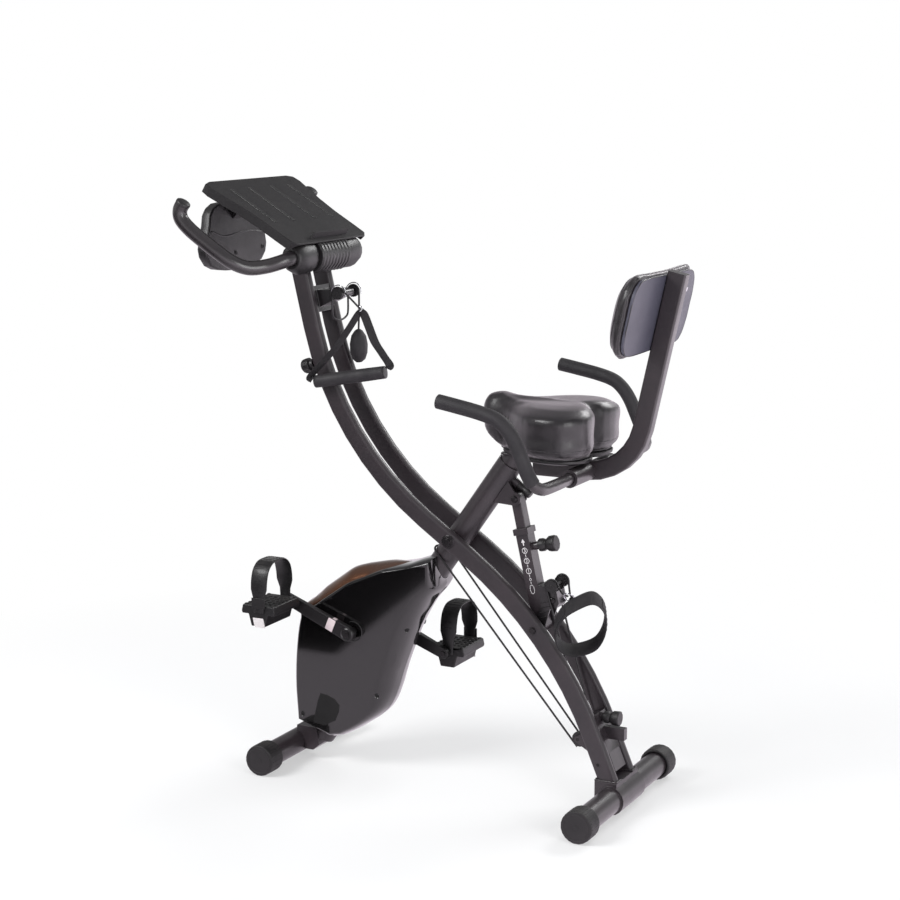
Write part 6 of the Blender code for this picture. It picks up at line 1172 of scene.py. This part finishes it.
guard = [
    (0.201, 0.03, 0.956), (0.203, 0.03, 0.969), (0.211, 0.03, 0.9765),
    (0.22, 0.03, 0.9775), (0.229, 0.03, 0.9735), (0.235, 0.028, 0.965),
]
guards = [cord(eased([(x, y * hand, z) for x, y, z in guard]), 0.001, 8, Y) for hand, _ in SIDES]
piece("pulley_wire_guards", guards, chrome, "rail_frame")

# Head tube, end caps and handlebar: one bent steel tube runs through the welded head tube,
# closed on each side by a moulded cap.
bar_coat = finish(
    "satin bar coat", (44, 40, 42), (37, 33, 36), 0.3, 0.05, grain=(1700.0, 0.12), dust=0.04, rubs=0.16, coat=0.4,
    coat_rough=0.2, rub_colour=(96, 88, 92),
)
dress(["head_tube"], frame_coat, edge=0.001)
cap_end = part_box("head_cap_left")[1][1] + 0.002
half_bar = [(0.0, cap_end - 0.04, 0.0), (0.0, cap_end, 0.0)] + [
    (0.012, 0.141, -0.006), (0.033, 0.158, -0.013), (0.056, 0.182, -0.015), (0.078, 0.203, -0.004),
    (0.104, 0.216, 0.016), (0.132, 0.224, 0.038), (0.156, 0.23, 0.058), (0.172, 0.234, 0.077), (0.174, 0.235, 0.094),
    (0.166, 0.235, 0.108),
]
head_centre = Vector((0.269478, 0, 1.034))
levels = [X]
whole_bar = [(x, -y, z) for x, y, z in reversed(half_bar)] + half_bar
bar_path = eased([head_centre + Vector(p) for p in whole_bar], 5)
for before, after in zip(bar_path, bar_path[1:]):
    way = (after - before).normalized()
    levels.append((levels[-1] - way * levels[-1].dot(way)).normalized())
bar_rings = carried(bar_path, circle(0.014, 32), levels)
handlebar = piece("handlebar_tube", [bridged(bar_rings)], bar_coat, "rail_frame", smooth=60)
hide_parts("handlebar")
plug = [(0.0142, -0.004), (0.0144, 0.0), (0.0138, 0.002), (0.0112, 0.0036), (0.006, 0.0046), (0.0, 0.0048)]
bar_ends = ((bar_path[0], bar_path[1]), (bar_path[-1], bar_path[-2]))
plugs = [lathe(plug, tip, tip - before) for tip, before in bar_ends]
piece("handlebar_end_plugs", plugs, moulded, "rail_frame")
dress(["head_cap_left", "head_cap_right"], moulded, edge=0.0016)

# Desk clamp, tray and console: ribbed split clamp on the head tube, a moulded tray on its
# arm, and the training computer's rounded case with a recessed display window.
tray_plastic = finish(
    "tray plastic", (30, 28, 30), (26, 24, 26), 0.58, 0.05, grain=(1200.0, 0.5), patches=8.0, dust=0.03, rubs=0.1,
    ior=1.4,
)
dress(["desk_clamp"], moulded, edge=0.0007)
dress(["tray"], tray_plastic, edge=0.001)
case = bmesh.new()
case.from_mesh(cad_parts["console"].data)
bmesh.ops.remove_doubles(case, verts=case.verts, dist=SAME_PLACE)
bmesh.ops.dissolve_limit(case, angle_limit=FLAT_ANGLE, verts=case.verts, edges=case.edges)
window = max((f for f in case.faces if f.normal.x > 0.99), key=lambda f: f.calc_area())
bmesh.ops.inset_region(case, faces=[window], thickness=0.015, use_even_offset=True)
bmesh.ops.inset_region(case, faces=[window], thickness=0.0012, depth=-0.0012, use_even_offset=True)
pane = [point.co.copy() for point in window.verts]
case_mesh = bpy.data.meshes.new("console_case")
case.to_mesh(case_mesh)
case.free()
console_case = added("console_case", case_mesh)
case_mesh.materials.append(moulded)
rounded_edges(console_case, 0.0022, 50.0)
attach(console_case, "desk")
display_glass = finish(
    "dark display glass", (20, 21, 24), (16, 17, 20), 0.1, 0.02, grain=(900.0, 0.02), dust=0.03, rubs=0.02, coat=0.6,
    coat_rough=0.04,
)
display = bridged([[p + X * lift for p in pane] for lift in (-0.0003, 0.0005)])
piece("console_display", [display], display_glass, "desk", smooth=25)


def on_console(y, z, lift=0.0):
    """The place and facing of the console's front at a point seen from the saddle."""
    return touch("console", (0.4, y, z), X, lift)


crease_line = (
    (0.093, 1.0745), (0.0869, 1.0759), (0.0446, 1.0651), (-0.0102, 1.0694), (-0.05, 1.0698), (-0.0849, 1.0664),
    (-0.093, 1.0655),
)
crease_section = [(-0.004, -0.0006), (0.0, 0.001), (0.0016, 0.0002), (0.0016, -0.0006)]
crease = bridged(carried(eased([on_console(y, z, -0.0003)[0] for y, z in crease_line]), crease_section, -X))
piece("console_case_crease", [crease], moulded, "desk", smooth=25)
WELL = ((0.0052, -0.0004), (0.0052, 0.0004), (0.0044, 0.0008), (0.0037, 0.0002), (0.0037, -0.0003))
wells, screws = [], []
for y, z in ((0.0408, 1.1184), (-0.0934, 1.0351), (0.098, 1.0349), (0.0059, 1.0294), (-0.07, 1.11)):
    place, facing = on_console(y, z)
    wells.append(lathe(WELL, place, facing, 28))
    # A black disc in each well is painted shade for the screw hole.
    screws.append(lathe([(0.0034, -0.0002), (0.003, 0.0002), (0.0, 0.0003)], place, facing, 20))
piece("console_screw_wells", wells, moulded, "desk")
piece("console_screw_hole_shades", screws, painted_shade_and_patch_black, "desk")
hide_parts("console")
strip_section = [(-0.0045, -0.0004), (-0.004, 0.0008), (0.004, 0.0008), (0.0045, -0.0004)]
strips = []
for y in (-0.105, -0.04, 0.04, 0.105):
    ends = [touch("tray", (x, y, 1.6), -Z, 0.0002)[0] for x in (0.31, 0.345, 0.38, 0.412)]
    strips.append(bridged(carried(ends, strip_section, Z)))
piece("tray_grip_strips", strips, strap_rubber, "desk", edge=0.0003)

low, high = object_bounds()
